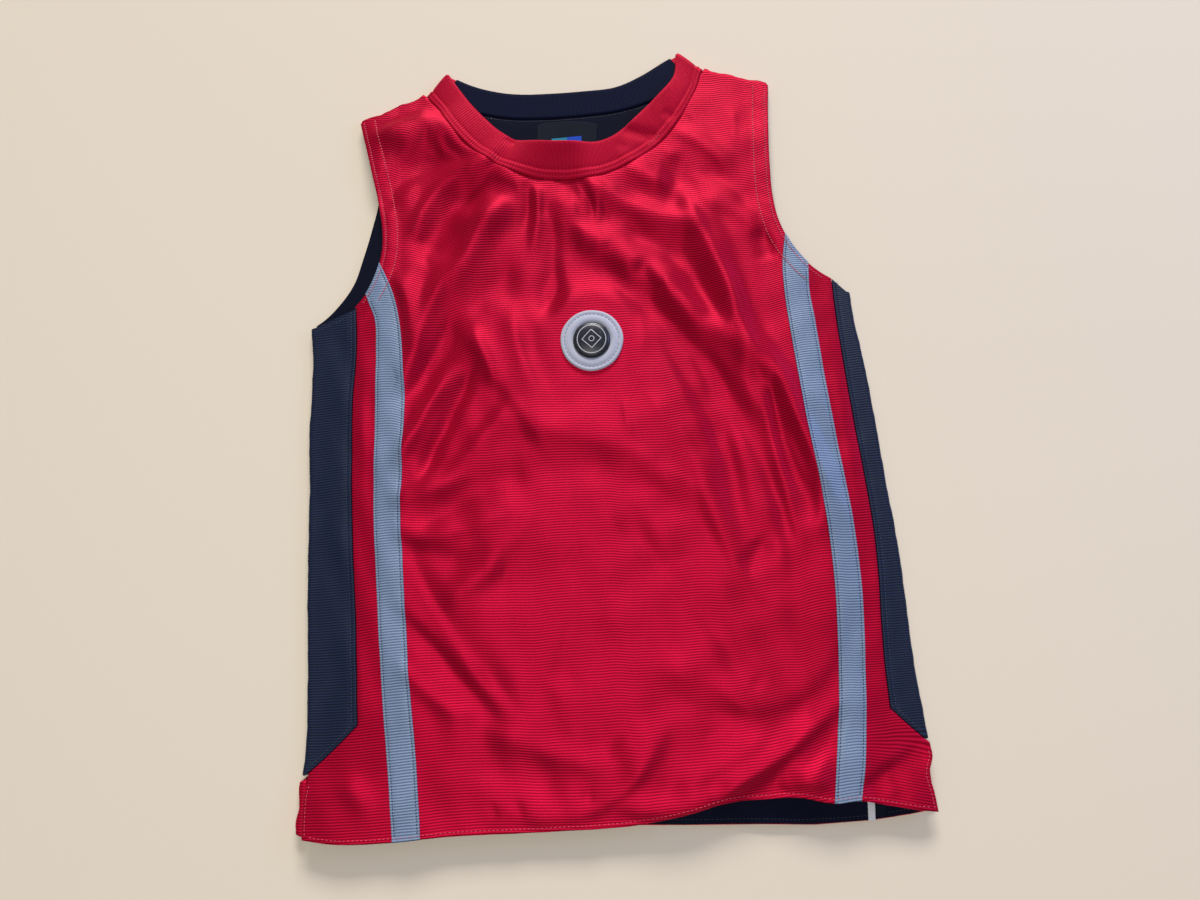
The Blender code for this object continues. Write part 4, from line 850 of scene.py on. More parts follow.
def side_edges(side):
    return (SIDE_L, NAVY_L, 1.0) if side == "left" else (SIDE_R, NAVY_R, -1.0)


def side_point(side, share, y):
    outer, seam, sign = side_edges(side)
    fold = edge(outer, y) + sign * (FOLD_R + WALL / 2)
    return fold + share * (edge(seam, y) - sign * SEAM - fold)


def diagonal(row, step_down, shares=(1.0, 0.66, 0.33, 0.06)):
    points = []
    for share in shares:
        y = row[3] + share * (row[1] - row[3])
        points.append([float(side_point(row[0], share, y)[0]), y - step_down])
    return np.array(points)


def stations(table, step):
    """Sections across the band about every step along it, on smooth curves through a table's rows."""
    table = np.asarray(table, float)
    at = np.linspace(0, len(table) - 1, 40 * len(table))
    dense = np.column_stack([smooth_interp(at, np.arange(len(table)), table[:, k]) for k in range(4)])
    run = lengths((dense[:, :2] + dense[:, 2:]) / 2)
    want = np.linspace(0, run[-1], int(round(run[-1] / step)) + 1)
    return np.column_stack([np.interp(want, run, dense[:, k]) for k in range(4)]), want


FRONT_BAND, _ = stations(NECK_FRONT, STEP)
BACK_BAND, _ = stations(NECK_BACK, STEP)

seam_l = np.linspace(SIDE_PANELS[0][1], SIDE_PANELS[0][2], int(242 / STEP))
seam_r = np.linspace(SIDE_PANELS[1][1], SIDE_PANELS[1][2], int(246 / STEP))
neck_seam = offset(FRONT_BAND[:, 2:], -GAP)[::-1]
hem_line = rounded(FRONT_HEM, STEP)
arm_r, arm_l = rounded(ARMHOLE_R, STEP), rounded(ARMHOLE_L, STEP)
outline_front = np.vstack([
    hem_line[:-1],
    rounded(RIGHT_VENT, STEP),
    resample(diagonal(SIDE_PANELS[1], 0.35)[::-1], STEP)[:-1],
    np.column_stack([edge(NAVY_R, seam_r) - SEAM, seam_r]),
    arm_r[1:-1],
    [SHOULDER_R[0]],
    resample(past_line(*SHOULDER_R, math.pi * FOLD_R + SHOULDER_TAIL), STEP),
    [SHOULDER_R[1]],
    neck_seam[1:-1],
    [SHOULDER_L[0]],
    resample(past_line(*SHOULDER_L, math.pi * FOLD_R + SHOULDER_TAIL), STEP),
    [SHOULDER_L[1]],
    arm_l[1:-1],
    np.column_stack([edge(NAVY_L, seam_l) + SEAM, seam_l])[::-1],
    resample(diagonal(SIDE_PANELS[0], 0.35), STEP)[1:],
    rounded(LEFT_VENT, STEP)[:-1],
])

# Stitch lines on the front, each with the groove that it pulls into the cloth.
ARM_R_OUT, ARM_R_IN = offset(arm_r, 2.4)[3:], offset(arm_r, 9.4)[7:]
ARM_L_OUT, ARM_L_IN = offset(arm_l, 2.4)[:-3], offset(arm_l, 9.4)[:-7]
HEM_ROW = offset(hem_line, 2.2)[2:-2]
GROOVES = (
    # path, depth, width
    (ARM_R_OUT, 0.16, 0.8), (ARM_R_IN, 0.30, 0.9), (ARM_L_OUT, 0.16, 0.8), (ARM_L_IN, 0.30, 0.9), (HEM_ROW, 0.18, 0.8),
)
_groove_trees = [(tree_of(path, 0.5), depth, width) for path, depth, width in GROOVES]
_arm_trees = [tree_of(arm_r), tree_of(arm_l)]


def puckers(points):
    """The grooves along stitch lines, with the small uneven puckers between them and the folded hem's extra height."""
    total = np.zeros(len(points))
    for tree, depth, width in _groove_trees:
        dist = to_tree(tree, points)
        total += depth * np.exp(-((dist / width) ** 2))
    for tree in _arm_trees:
        dist = to_tree(tree, points)
        band = soft((10.4 - dist) / 1.2)
        along = points[:, 1] + 0.4 * points[:, 0]
        total -= band * (0.32 + 0.10 * np.sin(along / 1.9 + 2.0 * np.sin(along / 9.0)) * np.exp(-(((dist - 6.0) / 3.0) ** 2)))
    hem = soft((3.2 - (points[:, 1] - np.interp(points[:, 0], hem_line[:, 0], hem_line[:, 1]))) / 1.0)
    total -= 0.2 * hem
    total *= 1 - np.exp(-((near_edges(points) / 4.0) ** 2))
    return total


def bumps(run, total, seed):
    """A folded edge's small irregularities along its length."""
    r = np.random.default_rng(seed)
    out = np.zeros(len(run))
    for length in (26.0, 15.0, 9.0, 5.5):
        out += r.uniform(0.4, 1.0) * (length / 26.0) ** 0.8 * np.sin(run * 2 * math.pi / length + r.uniform(0, 6.28))
    return out * soft(run / 6.0) * soft((total - run) / 6.0)


def over_fold(verts, z_mid, lines, up, seed=3, size=0.45):
    """Points of a wall's middle surface and its outward directions: past a fold line the wall turns round the fold
    and runs back on the other layer."""
    middle = np.column_stack([verts, z_mid])
    out = np.tile([0.0, 0.0, float(up)], (len(verts), 1))
    for k, (a, b) in enumerate(lines):
        a, b = np.array(a, float), np.array(b, float)
        total = np.linalg.norm(b - a)
        d = (b - a) / total
        n = np.array([d[1], -d[0]])
        past = (verts - a) @ n
        run = (verts - a) @ d
        at = np.nonzero((past > 1e-6) & (run > -12) & (run < total + 12))[0]
        foot = verts[at] - past[at, None] * n
        turn = np.minimum(past[at] / FOLD_R, math.pi)
        flat = np.clip(past[at] - math.pi * FOLD_R, 0, None)
        wobble = size * bumps(run[at], total, seed + k) + EXTRA_BUMPS[k](run[at], total) if size else 0.0
        reach = FOLD_R * np.sin(turn) - flat + wobble * np.sin(turn)
        middle[at, :2] = foot + n * reach[:, None]
        middle[at, 2] = FOLD_Z + up * FOLD_R * np.cos(turn)
        out[at, :2] = n * np.sin(turn)[:, None]
        out[at, 2] = up * np.cos(turn)
    return middle, out


# The armhole hems' small lumps on the shoulder folds, and the little peak beside the neckband.
EXTRA_BUMPS = (
    lambda run, total: 0.7 * np.exp(-(((run - 5.0) / 4.0) ** 2)) - 0.5 * np.exp(-(((run - 12.0) / 2.0) ** 2)) + 1.1 * np.exp(-(((total - run - 1.5) / 2.2) ** 2)),
    lambda run, total: 1.0 * np.exp(-(((total - run - 6.0) / 4.5) ** 2)) - 0.6 * np.exp(-(((total - run - 13.0) / 2.0) ** 2)) + 1.4 * np.exp(-(((run - 2.0) / 2.4) ** 2)),
)

# ---------------------------------------------------------------- front
fold_rows = [resample(past_line(a, b, turn * FOLD_R), STEP) for a, b in (SHOULDER_R, SHOULDER_L) for turn in np.linspace(0.05, math.pi, 8)]
stitch_rows = [offset(path, by) for path, _, _ in GROOVES for by in (-0.8, 0.0, 0.8)]
flat, tris, dist = fill(outline_front, 2.15, (0.3, 0.9), stitch_rows + fold_rows)
high = top(flat) - puckers(flat)
middle, out = over_fold(flat, high - WALL / 2, (SHOULDER_R, SHOULDER_L), 1)
half = WALL / 2 - eased(dist, 0.9, WALL / 2)
points, body, lower = wall(middle, out, half, half, tris)
lie = grain(flat)
front = mesh_object("front_cloth", points, body, np.vstack([lie, lie]), [red, lining], lower)
carry(front, "red_satin", "front_panel")


# ---------------------------------------------------------------- applied stripes
def strip_outline(outer, inner, step):
    """The outline of a stripe: its two edges, cut off by the hem and by the armhole."""
    y = np.arange(-232.0, 118.0, 0.25)
    ends = []
    for column in (outer, inner):
        path = np.column_stack([edge(column, y), y])
        path = path[inside(path, outline_front)]
        ends.append(path[path[:, 1] < 112])
    left, right = ends if ends[0][0, 0] < ends[1][0, 0] else ends[::-1]
    hem = hem_line[(hem_line[:, 0] > left[0, 0] + 0.6) & (hem_line[:, 0] < right[0, 0] - 0.6)]
    arm = arm_l if left[0, 0] < 0 else arm_r
    if left[0, 0] < 0:
        arm = arm[::-1]
    a, b = right[-1], left[-1]
    near_a, near_b = np.argmin(np.linalg.norm(arm - a, axis=1)), np.argmin(np.linalg.norm(arm - b, axis=1))
    across = arm[min(near_a, near_b) : max(near_a, near_b) + 1]
    if near_a > near_b:
        across = across[::-1]
    across = across[(np.linalg.norm(across - a, axis=1) > 0.8) & (np.linalg.norm(across - b, axis=1) > 0.8)]
    pick = max(1, int(step / 0.25))
    return np.vstack([hem, right[::pick], right[-1:], across, left[-1:], left[::-pick]]), left, right


RIBBON = 0.7
ribbon_sides = {}


def ribbon_puckers(left, right):
    trees = [tree_of(offset(left, -1.5), 0.5), tree_of(offset(right, 1.5), 0.5)]

    def groove(points):
        total = np.zeros(len(points))
        for tree in trees:
            d = to_tree(tree, points)
            total += (0.20 + 0.05 * np.sin(points[:, 1] * 2 * math.pi / 1.95)) * np.exp(-((d / 0.6) ** 2))
        return total

    return groove


def ribbon_grain(points):
    lie = grain(points)
    return lie


for name, outer, inner in (("left", STRIPE_L_OUT, STRIPE_L_IN), ("right", STRIPE_R_OUT, STRIPE_R_IN)):
    shape, left, right = strip_outline(outer, inner, 1.2)
    ribbon_sides[name] = (left, right)
    rows_in = [offset(left[::4], -by) for by in (1.0, 1.5, 2.0)] + [offset(right[::4], by) for by in (1.0, 1.5, 2.0)]
    piece = flat_cloth("stripe_" + name + "_ribbon", shape, 1.3, lambda p: top(p) - puckers(p) + RIBBON + 0.05, RIBBON, [ribbon], rim=0.5,
                       lines=rows_in, rows=(0.2, 0.5), groove=ribbon_puckers(left, right), uv=ribbon_grain)
    carry(piece, "grey_ribbon", "stripe_" + name)


def skin(points):
    """The visible surface: the front, or a stripe where there is one."""
    points = np.asarray(points, float)
    z = top(points) - puckers(points)
    for outer, inner in ((STRIPE_L_OUT, STRIPE_L_IN), (STRIPE_R_OUT, STRIPE_R_IN)):
        on = (points[:, 0] - edge(outer, points[:, 1])) * (points[:, 0] - edge(inner, points[:, 1])) < 0
        z = z + (RIBBON + 0.02) * (on & (points[:, 1] < 110))
    return z


# ---------------------------------------------------------------- side panels, folded round the sides
def side_panel(row, material):
    side, seam_bottom, seam_top, fold_bottom, fold_top = row
    outer, seam, sign = side_edges(side)
    rows = 170
    along = np.concatenate([[0, 0.0012, 0.004], np.linspace(0.010, 0.990, rows - 6), [0.996, 0.9988, 1.0]])
    columns, outs, halves, us = [], [], [], []
    shares = np.array([1.0, 0.986, 0.96, 0.92, 0.875, 0.83, 0.74, 0.62, 0.50, 0.38, 0.26, 0.15, 0.06, 0.0])
    reach = 0.0

    def ys(share):
        low = fold_bottom + share * (seam_bottom - fold_bottom)
        high = fold_top + share * (seam_top - fold_top)
        return low + (high - low) * along

    def ends(y):
        return np.minimum(y - y[0], y[-1] - y)

    last = None
    for share in shares:
        y = ys(share)
        xy = np.column_stack([side_point(side, share, y), y])
        z = top(xy) - WALL / 2
        mid = np.column_stack([xy, z])
        from_seam = np.abs(side_point(side, 1.0, y) - xy[:, 0])
        near = np.minimum(from_seam, ends(y))
        half = WALL / 2 - eased(near, 0.9, WALL / 2)
        stitch = 0.22 * np.exp(-(((from_seam - 2.9) / 0.9) ** 2)) + 0.2 * np.exp(-(((ends(y) - 2.6) / 0.9) ** 2)) * soft((from_seam - 2) / 2)
        half = half - stitch * soft(ends(y) / 2.0)
        if last is not None:
            reach += np.linalg.norm(mid - last, axis=1).mean()
        last = mid
        columns.append(mid)
        outs.append(np.tile([0.0, 0.0, 1.0], (rows, 1)))
        halves.append(half)
        us.append(reach)
    y = ys(0.0)
    fold = side_point(side, 0.0, y)
    wob = 0.13 * bumps(y - y[0], y[-1] - y[0], 21 if side == "left" else 33)
    for turn in np.radians([18, 36, 54, 72, 90, 108, 126, 144, 162]):
        shift = FOLD_R * math.sin(turn) + wob * math.sin(turn)
        mid = np.column_stack([fold - sign * shift, y, np.full(rows, FOLD_Z + FOLD_R * math.cos(turn))])
        reach += np.linalg.norm(mid - last, axis=1).mean()
        last = mid
        columns.append(mid)
        outs.append(np.tile([-sign * math.sin(turn), 0.0, math.cos(turn)], (rows, 1)))
        halves.append(WALL / 2 - eased(ends(y), 0.9, WALL / 2))
        us.append(reach)
    for share in (0.0, 0.15, 0.4, 0.7, 0.985, 1.0):
        y = ys(share)
        mid = np.column_stack([side_point(side, share, y), y, np.full(rows, WALL / 2)])
        reach += np.linalg.norm(mid - last, axis=1).mean()
        last = mid
        columns.append(mid)
        outs.append(np.tile([0.0, 0.0, -1.0], (rows, 1)))
        halves.append(WALL / 2 - eased(ends(y), 0.9, WALL / 2))
        us.append(reach)
    mid, out, half = np.array(columns), np.array(outs), np.array(halves)[..., None]
    wide = len(columns)
    outer_pts = (mid + out * half).reshape(-1, 3)
    inner_pts = (mid - out * half).reshape(-1, 3)
    n = len(outer_pts)
    index = np.arange(n).reshape(wide, rows)
    quads = np.stack([index[:-1, :-1], index[1:, :-1], index[1:, 1:], index[:-1, 1:]], axis=-1).reshape(-1, 4)
    rim = list(index[0]) + list(index[1:, -1]) + list(index[-1, -2::-1]) + list(index[-2:0:-1, 0])
    rim = np.array(rim)
    ahead = np.roll(rim, -1)
    sides = np.column_stack([rim, ahead, ahead + n, rim + n])
    if sign > 0:
        body = [quads[:, ::-1], quads + n, sides[:, ::-1]]
    else:
        body = [quads, quads[:, ::-1] + n, sides]
    yy = np.array([c[:, 1] for c in columns]).ravel()
    v = np.concatenate([grain(c[:, :2])[:, 1] if k < len(shares) else grain(columns[len(shares) - 1][:, :2])[:, 1] for k, c in enumerate(columns)])
    u = np.repeat(us, rows)
    lie = np.column_stack([u, v])
    face_material = np.concatenate([np.zeros(len(quads), int), np.ones(len(quads), int), np.zeros(len(sides), int)])
    return mesh_object("side_panel_" + side + "_cloth", np.vstack([outer_pts, inner_pts]), body, np.vstack([lie, lie]), [material, lining], face_material)


for row in SIDE_PANELS:
    piece = side_panel(row, navy)
    carry(piece, "navy_cloth", "side_panel_" + row[0])


# ---------------------------------------------------------------- neckband
def band_height(t, s):
    """The neckband's shape across it, from its free edge, t = 0, to its seam, t = 1."""
    free = np.sqrt(np.clip(1 - (1 - np.clip(t / 0.10, 0, 1)) ** 2, 0, 1))
    seam = np.sqrt(np.clip(1 - (np.clip((t - 0.955) / 0.045, 0, 1)) ** 2, 0, 1))
    crown = 0.9 + 0.25 * np.sin(math.pi * np.clip(t / 0.72, 0, 1))
    strip = 0.38 * soft((t - 0.745) / 0.05) - 0.26 * np.exp(-(((t - 0.735) / 0.035) ** 2))
    stitch = -0.16 * np.exp(-(((t - 0.88) / 0.022) ** 2))
    ribs = 0.11 * np.cos(2 * math.pi * s / BAND_RIB)
    return (crown + strip + stitch + ribs) * free * (0.25 + 0.75 * seam) - 0.3 * (1 - seam)


BAND_DENTS = (
    # x0, y0, x1, y1, x2, y2, height, left, right, fade_in, fade_out
    (30, 181, 43, 175, 56, 173, -1.7, 3.5, 4.5, 0.25, 0.30),
    (57, 190, 60, 187, 64, 184, -0.9, 3.0, 3.0, 0.30, 0.30),
    (-41, 180, -38, 177, -33, 175, -0.9, 2.4, 2.4, 0.30, 0.30),
    (26, 170, 31, 167, 34, 164, -0.5, 3.0, 3.0, 0.30, 0.30),
)


def neckband():
    front, run = stations(NECK_FRONT, 0.27)
    t = np.concatenate([[0.0, 0.012, 0.03, 0.06, 0.10], np.linspace(0.16, 0.68, 8), [0.705, 0.735, 0.765, 0.80, 0.84, 0.865, 0.88, 0.895, 0.92, 0.95, 0.97, 0.985, 1.0]])
    columns = []

    def ring(free, seam_pt, base, out, s):
        """A closed cross-section: the outer side from the free edge to the seam, then the inner side back."""
        across = seam_pt - free
        line = free + across * t[:, None]
        height = band_height(t, s)
        outer_side = line + out * height[:, None]
        inner_t = np.array([0.985, 0.7, 0.4, 0.03])
        inner_side = free + across * inner_t[:, None] - out * 0.55
        return np.vstack([outer_side, inner_side])

    rows_out, us = [], []
    mid = np.column_stack([(front[:, 0] + front[:, 2]) / 2, (front[:, 1] + front[:, 3]) / 2])
    reach = front[:, 2:] - front[:, :2]
    front[:, 2:] += reach / np.linalg.norm(reach, axis=1)[:, None] * 0.85
    z_free = under(front[:, :2]) + WALL / 2 + 0.35 * soft(run / 25) * soft((run[-1] - run) / 25)
    z_free = z_free + 5.4 * np.exp(-(((mid[:, 0] + 11.0) / 21.0) ** 4)) + 1.0 * np.exp(-(((mid[:, 0] - 45.0) / 9.0) ** 2)) + 2.4 * np.exp(-(((mid[:, 0] - 64.0) / 9.0) ** 2)) * soft((run[-1] - run) / 30)
    z_seam = under(front[:, 2:]) + WALL / 2
    # The free edge stands up at the middle of the neck, so the band slopes down to its seam there.
    centre = (mid[:, 0] + 4.0) / 16.0
    hollow = 0.3 * np.exp(-(centre**2))
    for i, row in enumerate(front):
        free, seam_pt = np.array([*row[:2], z_free[i]]), np.array([*row[2:], z_seam[i]])
        section = ring(free, seam_pt, None, np.array([0.0, 0.0, 1.0]), run[i])
        dip = hollow[i] * np.concatenate([np.sin(math.pi * np.clip((t - 0.05) / 0.68, 0, 1)) ** 1.5, np.zeros(4)])
        section[:, 2] -= dip
        dent = folded(section[:, :2], BAND_DENTS)
        section[: len(t), 2] += (dent * np.where(np.arange(len(section)) < len(t), 1.0, 0.0))[: len(t)]
        rows_out.append(section)
        us.append(run[i])
    s = run[-1]
    back, run_b = stations(NECK_BACK, 2.0)
    for ends_row, sign, count in ((front[-1], 1, 12), (back[-1], -1, 12)):
        if sign < 0:
            for i, row in enumerate(back[1:-1]):
                free, seam_pt = np.array([*row[:2], WALL / 2]), np.array([*row[2:], WALL / 2])
                section = ring(free, seam_pt, None, np.array([0.0, 0.0, -1.0]), 0.4)
                section[:, 2] = np.maximum(section[:, 2], 0.05)
                rows_out.append(section)
                us.append(s + run_b[i + 1])
            s += run_b[-1]
        across = ends_row[2:] - ends_row[:2]
        n = np.array([across[1], -across[0]])
        n = n / np.linalg.norm(n)
        if n[1] < 0:
            n = -n
        turns = np.linspace(0, math.pi, count + 1)
        turns = turns[1:] if sign > 0 else turns[::-1][:-1]
        for k, turn in enumerate(turns):
            shift = np.array([*(n * FOLD_R * math.sin(turn)), 0.0])
            z = FOLD_Z + FOLD_R * math.cos(turn)
            out = np.array([*(n * math.sin(turn)), math.cos(turn)])
            free, seam_pt = np.array([*ends_row[:2], z]) + shift, np.array([*ends_row[2:], z]) + shift
            section = ring(free, seam_pt, None, out, s + k * 0.4)
            section[:, 2] = np.maximum(section[:, 2], 0.05)
            rows_out.append(section)
            us.append(s + k * 0.4)
        s += count * 0.4
    rows_out = np.array(rows_out)
    k, c = rows_out.shape[:2]
    index = np.arange(k * c).reshape(k, c)
    ahead = np.roll(index, -1, axis=0)
    nxt, nxt_ahead = np.roll(index, -1, axis=1), np.roll(ahead, -1, axis=1)
    quads = np.stack([index, nxt, nxt_ahead, ahead], axis=-1).reshape(-1, 4)
    width = np.concatenate([t * 19.0, np.array([20.0, 25.0, 31.0, 38.0])])
    uv = np.column_stack([np.repeat(us, c), np.tile(width, k)])
    return rows_out.reshape(-1, 3), quads, uv


points, quads, uv = neckband()
band = mesh_object("neckband_rib", points, quads, uv, [red_band])
carry(band, "red_rib", "neckband")

# ---------------------------------------------------------------- the neckband's inner side and the lining
inner, run = stations(NECK_BACK, 0.34)
keep = (run > 6.0) & (run < run[-1] - 6.0)
inner, run = inner[keep], run[keep]
t = np.concatenate([[-0.02, 0.0, 0.02, 0.06, 0.12], np.linspace(0.2, 0.84, 9), [0.90, 0.94, 0.97, 1.0]])
fade = soft((run - run[0]) / 16.0) * soft((run[-1] - run) / 16.0)
rows_in = []
for i, row in enumerate(inner):
    free, seam_pt = row[:2] + [0.0, 0.2], row[2:]
    xy = free + (seam_pt - free) * t[:, None]
    round_free = np.sqrt(np.clip(1 - (1 - np.clip((t + 0.02) / 0.10, 0, 1)) ** 2, 0, 1))
    round_seam = np.sqrt(np.clip(1 - (np.clip((t - 0.93) / 0.07, 0, 1)) ** 2, 0, 1))
    z = Z_LINING - 0.5 + (1.5 + fade[i] * (0.55 + 0.10 * math.cos(2 * math.pi * run[i] / BAND_RIB))) * round_free * (0.4 + 0.6 * round_seam)
    rows_in.append(np.column_stack([xy, z]))
top_pts, quads = sheet_mesh(rows_in)
base = top_pts.copy()
base[:, 2] = Z_LINING - 0.4
n = len(top_pts)
r, c = len(rows_in), len(t)
index = np.arange(n).reshape(r, c)
rim = np.concatenate([index[0], index[1:, -1], index[-1, -2::-1], index[-2:0:-1, 0]])
ahead = np.roll(rim, -1)
body = [quads[:, ::-1], quads + n, np.column_stack([rim, ahead, ahead + n, rim + n])]
test = top_pts[quads[0]]
if np.cross(test[1] - test[0], test[2] - test[0])[2] > 0:
    body = [quads, quads[:, ::-1] + n, np.column_stack([ahead, rim, rim + n, ahead + n])]
uv = np.column_stack([np.repeat(run, c), np.tile(t * 17.0, r)])
inner_band = mesh_object("neckband_inner_rib", np.vstack([top_pts, base]), body, np.vstack([uv, uv]), [black_band])
carry(inner_band, "black_rib", "neckband_inner")

INSET = 0.8
side_y = np.linspace(-186.0, 62.0, 90)
outline_lining = np.vstack([
    resample(np.array(BACK_HEM, float)[1:-1] + [0.0, 0.7], 3.0),
    [(171.0, -224.6), (171.4, -207.0), (171.4, -192.0)],
    np.column_stack([edge(SIDE_R, side_y) - WALL - INSET, side_y]),
    rounded(ARMHOLE_R, 3.0)[1:-1] + [0.35, 0.35],
    past_line(*SHOULDER_R, -INSET),
    BACK_BAND[1:-1, 2:] - [0.0, 0.6],
    past_line(*SHOULDER_L, -INSET),
    rounded(BACK_ARMHOLE_L, 3.0)[1:-1],
    np.column_stack([edge(SIDE_L, side_y) + WALL + INSET, side_y])[::-1],
    [(-167.6, -192.0), (-168.6, -207.0), (-169.4, -222.0)],
])
back_hem_line = rounded(BACK_HEM, STEP)
LINING_ROW = offset(back_hem_line, 3.2)
_lining_hem = tree_of(LINING_ROW, 0.5)
neck_space = np.vstack([FRONT_BAND[:, :2], BACK_BAND[1:-1, :2]])


def lining_top(points):
    z = np.full(len(points), Z_LINING + WALL_LINING)
    # In the neck opening nothing lies on it, so it rises and folds a little there.
    open_here = soft((points[:, 1] - 168.0) / 10.0) * soft((38.0 - np.abs(points[:, 0] + 2.0)) / 14.0) * soft((198.0 - points[:, 1]) / 6.0)
    ripple = 0.22 + 0.20 * np.sin(points[:, 0] / 5.2 + 0.7) + 0.12 * np.sin(points[:, 0] / 2.9 + points[:, 1] / 9.0)
    z += 0.5 * open_here * ripple
    z -= 0.18 * np.exp(-((to_tree(_lining_hem, points) / 0.8) ** 2))
    shown = soft((-218.0 - points[:, 1]) / 4.0) * soft((points[:, 0] - 30.0) / 20.0)
    z += shown * (0.25 + 0.22 * np.sin(points[:, 0] / 7.0 + 1.0) + 0.10 * np.sin(points[:, 0] / 3.1))
    return z


def plain_grain(points):
    return points.copy()


piece = flat_cloth("back_lining_cloth", outline_lining, 3.2, lining_top, WALL_LINING, [lining], rim=0.8,
                   lines=[offset(back_hem_line[::2], by) for by in (2.4, 3.2, 4.0)], uv=plain_grain)
carry(piece, "black_lining", "back_lining")

# ---------------------------------------------------------------- back panel
VENT_FOLD = ((-170.2, -192.2), (-173.0, -222.6))
VENT_LAP = math.pi * FOLD_R + 2.3
shoulder_r, shoulder_l = past_line(*SHOULDER_R, -(SHOULDER_TAIL + GAP)), past_line(*SHOULDER_L, -(SHOULDER_TAIL + GAP))
back_arm = rounded(BACK_ARMHOLE_L, 3.0)
back_arm_l = back_arm[(back_arm[:, 1] < shoulder_l[1][1] - 1) & (back_arm[:, 1] > 80.6)] + [0.5, 0.0]
arm3 = rounded(ARMHOLE_R, 3.0)
back_arm_r = arm3[(arm3[:, 1] > 79) & (arm3[:, 1] < shoulder_r[0][1] - 1)] - [0.2, 0.0]
back_neck = offset(BACK_BAND[:, 2:], GAP)
back_neck = back_neck[(back_neck[:, 0] < shoulder_r[1][0] - 1) & (back_neck[:, 0] > shoulder_l[0][0] + 1)]
outline_back = np.vstack([
    resample(BACK_HEM, 3.0),
    resample([(173.6, -207.0), (174.2, -197.0), (173.6, -190.8)], 3.0),
    diagonal(SIDE_PANELS[1], 0.35)[::-1][:-1],
    np.column_stack([edge(NAVY_R, seam_r[::2]) - SEAM, seam_r[::2]]),
    back_arm_r,
    resample(shoulder_r, 3.0),
    back_neck,
    resample(shoulder_l, 3.0),
    back_arm_l,
    np.column_stack([edge(NAVY_L, seam_l[::2]) + SEAM, seam_l[::2]])[::-1],
    diagonal(SIDE_PANELS[0], 0.35)[1:-1],
    [VENT_FOLD[0]],
    resample(past_line(*VENT_FOLD, VENT_LAP), 1.5),
    [VENT_FOLD[1]],
])
vent_rows = [resample(past_line(*VENT_FOLD, turn * FOLD_R), 1.5) for turn in np.linspace(0.05, math.pi, 8)]
vent_rows += [resample(past_line(*VENT_FOLD, math.pi * FOLD_R + by), 1.5) for by in (0.6, 1.2, 1.8)]
flat_b, tris_b, dist_b = fill(outline_back, 3.6, (0.3, 0.9), vent_rows)
EXTRA_KEPT = EXTRA_BUMPS
EXTRA_BUMPS = (lambda run, total: 0.35 * np.sin(run / 3.1) * soft(run / 5) * soft((total - run) / 5),) * 2
middle, out = over_fold(flat_b, np.full(len(flat_b), WALL / 2), (VENT_FOLD,), -1, seed=9, size=0.25)
turned = (flat_b[:, 1] < -190.0) & (flat_b[:, 0] < -165.0)
middle[~turned] = np.column_stack([flat_b[~turned], np.full((~turned).sum(), WALL / 2)])
out[~turned] = (0, 0, -1)
half = WALL / 2 - eased(dist_b, 0.9, WALL / 2)
points, body, lower = wall(middle, -out, half, half, tris_b)
lie = np.column_stack([flat_b[:, 0], flat_b[:, 1]])
back = mesh_object("back_cloth", points, body, np.vstack([lie, lie]), [red])
carry(back, "red_satin", "back_panel")


# ---------------------------------------------------------------- patch: a padded disc with a domed middle
def lathe(name, profile, centre, count, material, wobble=None):
    """A turned shape from (radius, height) rows, with (u, v) laid flat over it."""
    profile = np.asarray(profile, float)
    a = np.linspace(0, 2 * math.pi, count, endpoint=False)
    pts = []
    for r, z in profile:
        radius = r if wobble is None else r * (1 + wobble(a))
        pts.append(np.column_stack([centre[0] + radius * np.cos(a), centre[1] + radius * np.sin(a), np.full(count, z)]))
    pts.append(np.array([[centre[0], centre[1], profile[-1, 1]]]))
    pts.append(np.array([[centre[0], centre[1], profile[0, 1]]]))
    verts = np.vstack(pts)
    k = len(profile)
    index = np.arange(k * count).reshape(k, count)
    nxt = np.roll(index, -1, axis=1)
    quads = np.stack([index[:-1], nxt[:-1], nxt[1:], index[1:]], axis=-1).reshape(-1, 4)
    cap = np.column_stack([index[-1], nxt[-1], np.full(count, k * count)])
    base = np.column_stack([nxt[0], index[0], np.full(count, k * count + 1)])
    return mesh_object(name, verts, [quads, cap, base], verts[:, :2].copy(), [material])


patch_z = PATCH_HIGH + WALL
profile = [(PATCH_R - 1.2, patch_z - 0.1), (PATCH_R - 0.25, patch_z + 0.05), (PATCH_R, patch_z + 0.55), (PATCH_R - 0.15, patch_z + 1.0),
           (PATCH_R - 0.6, patch_z + 1.4), (PATCH_R - 1.2, patch_z + 1.55), (PATCH_R - 2.0, patch_z + 1.35), (PATCH_R - 2.5, patch_z + 1.15),
           (PATCH_R - 3.0, patch_z + 1.35), (PATCH_R - 3.8, patch_z + 1.7), (PATCH_R - 5.0, patch_z + 1.85), (DOME_R + 1.2, patch_z + 1.75),
           (DOME_R + 0.6, patch_z + 1.45), (DOME_R + 0.2, patch_z + 1.0), (DOME_R - 1.0, patch_z + 1.0)]
disc = lathe("patch_felt", profile, (PATCH_X, PATCH_Y), 120, felt,
             wobble=lambda a: 0.006 * np.sin(3 * a + 0.4) + 0.004 * np.sin(7 * a + 1.0))
carry(disc, "patch_pale", "patch")


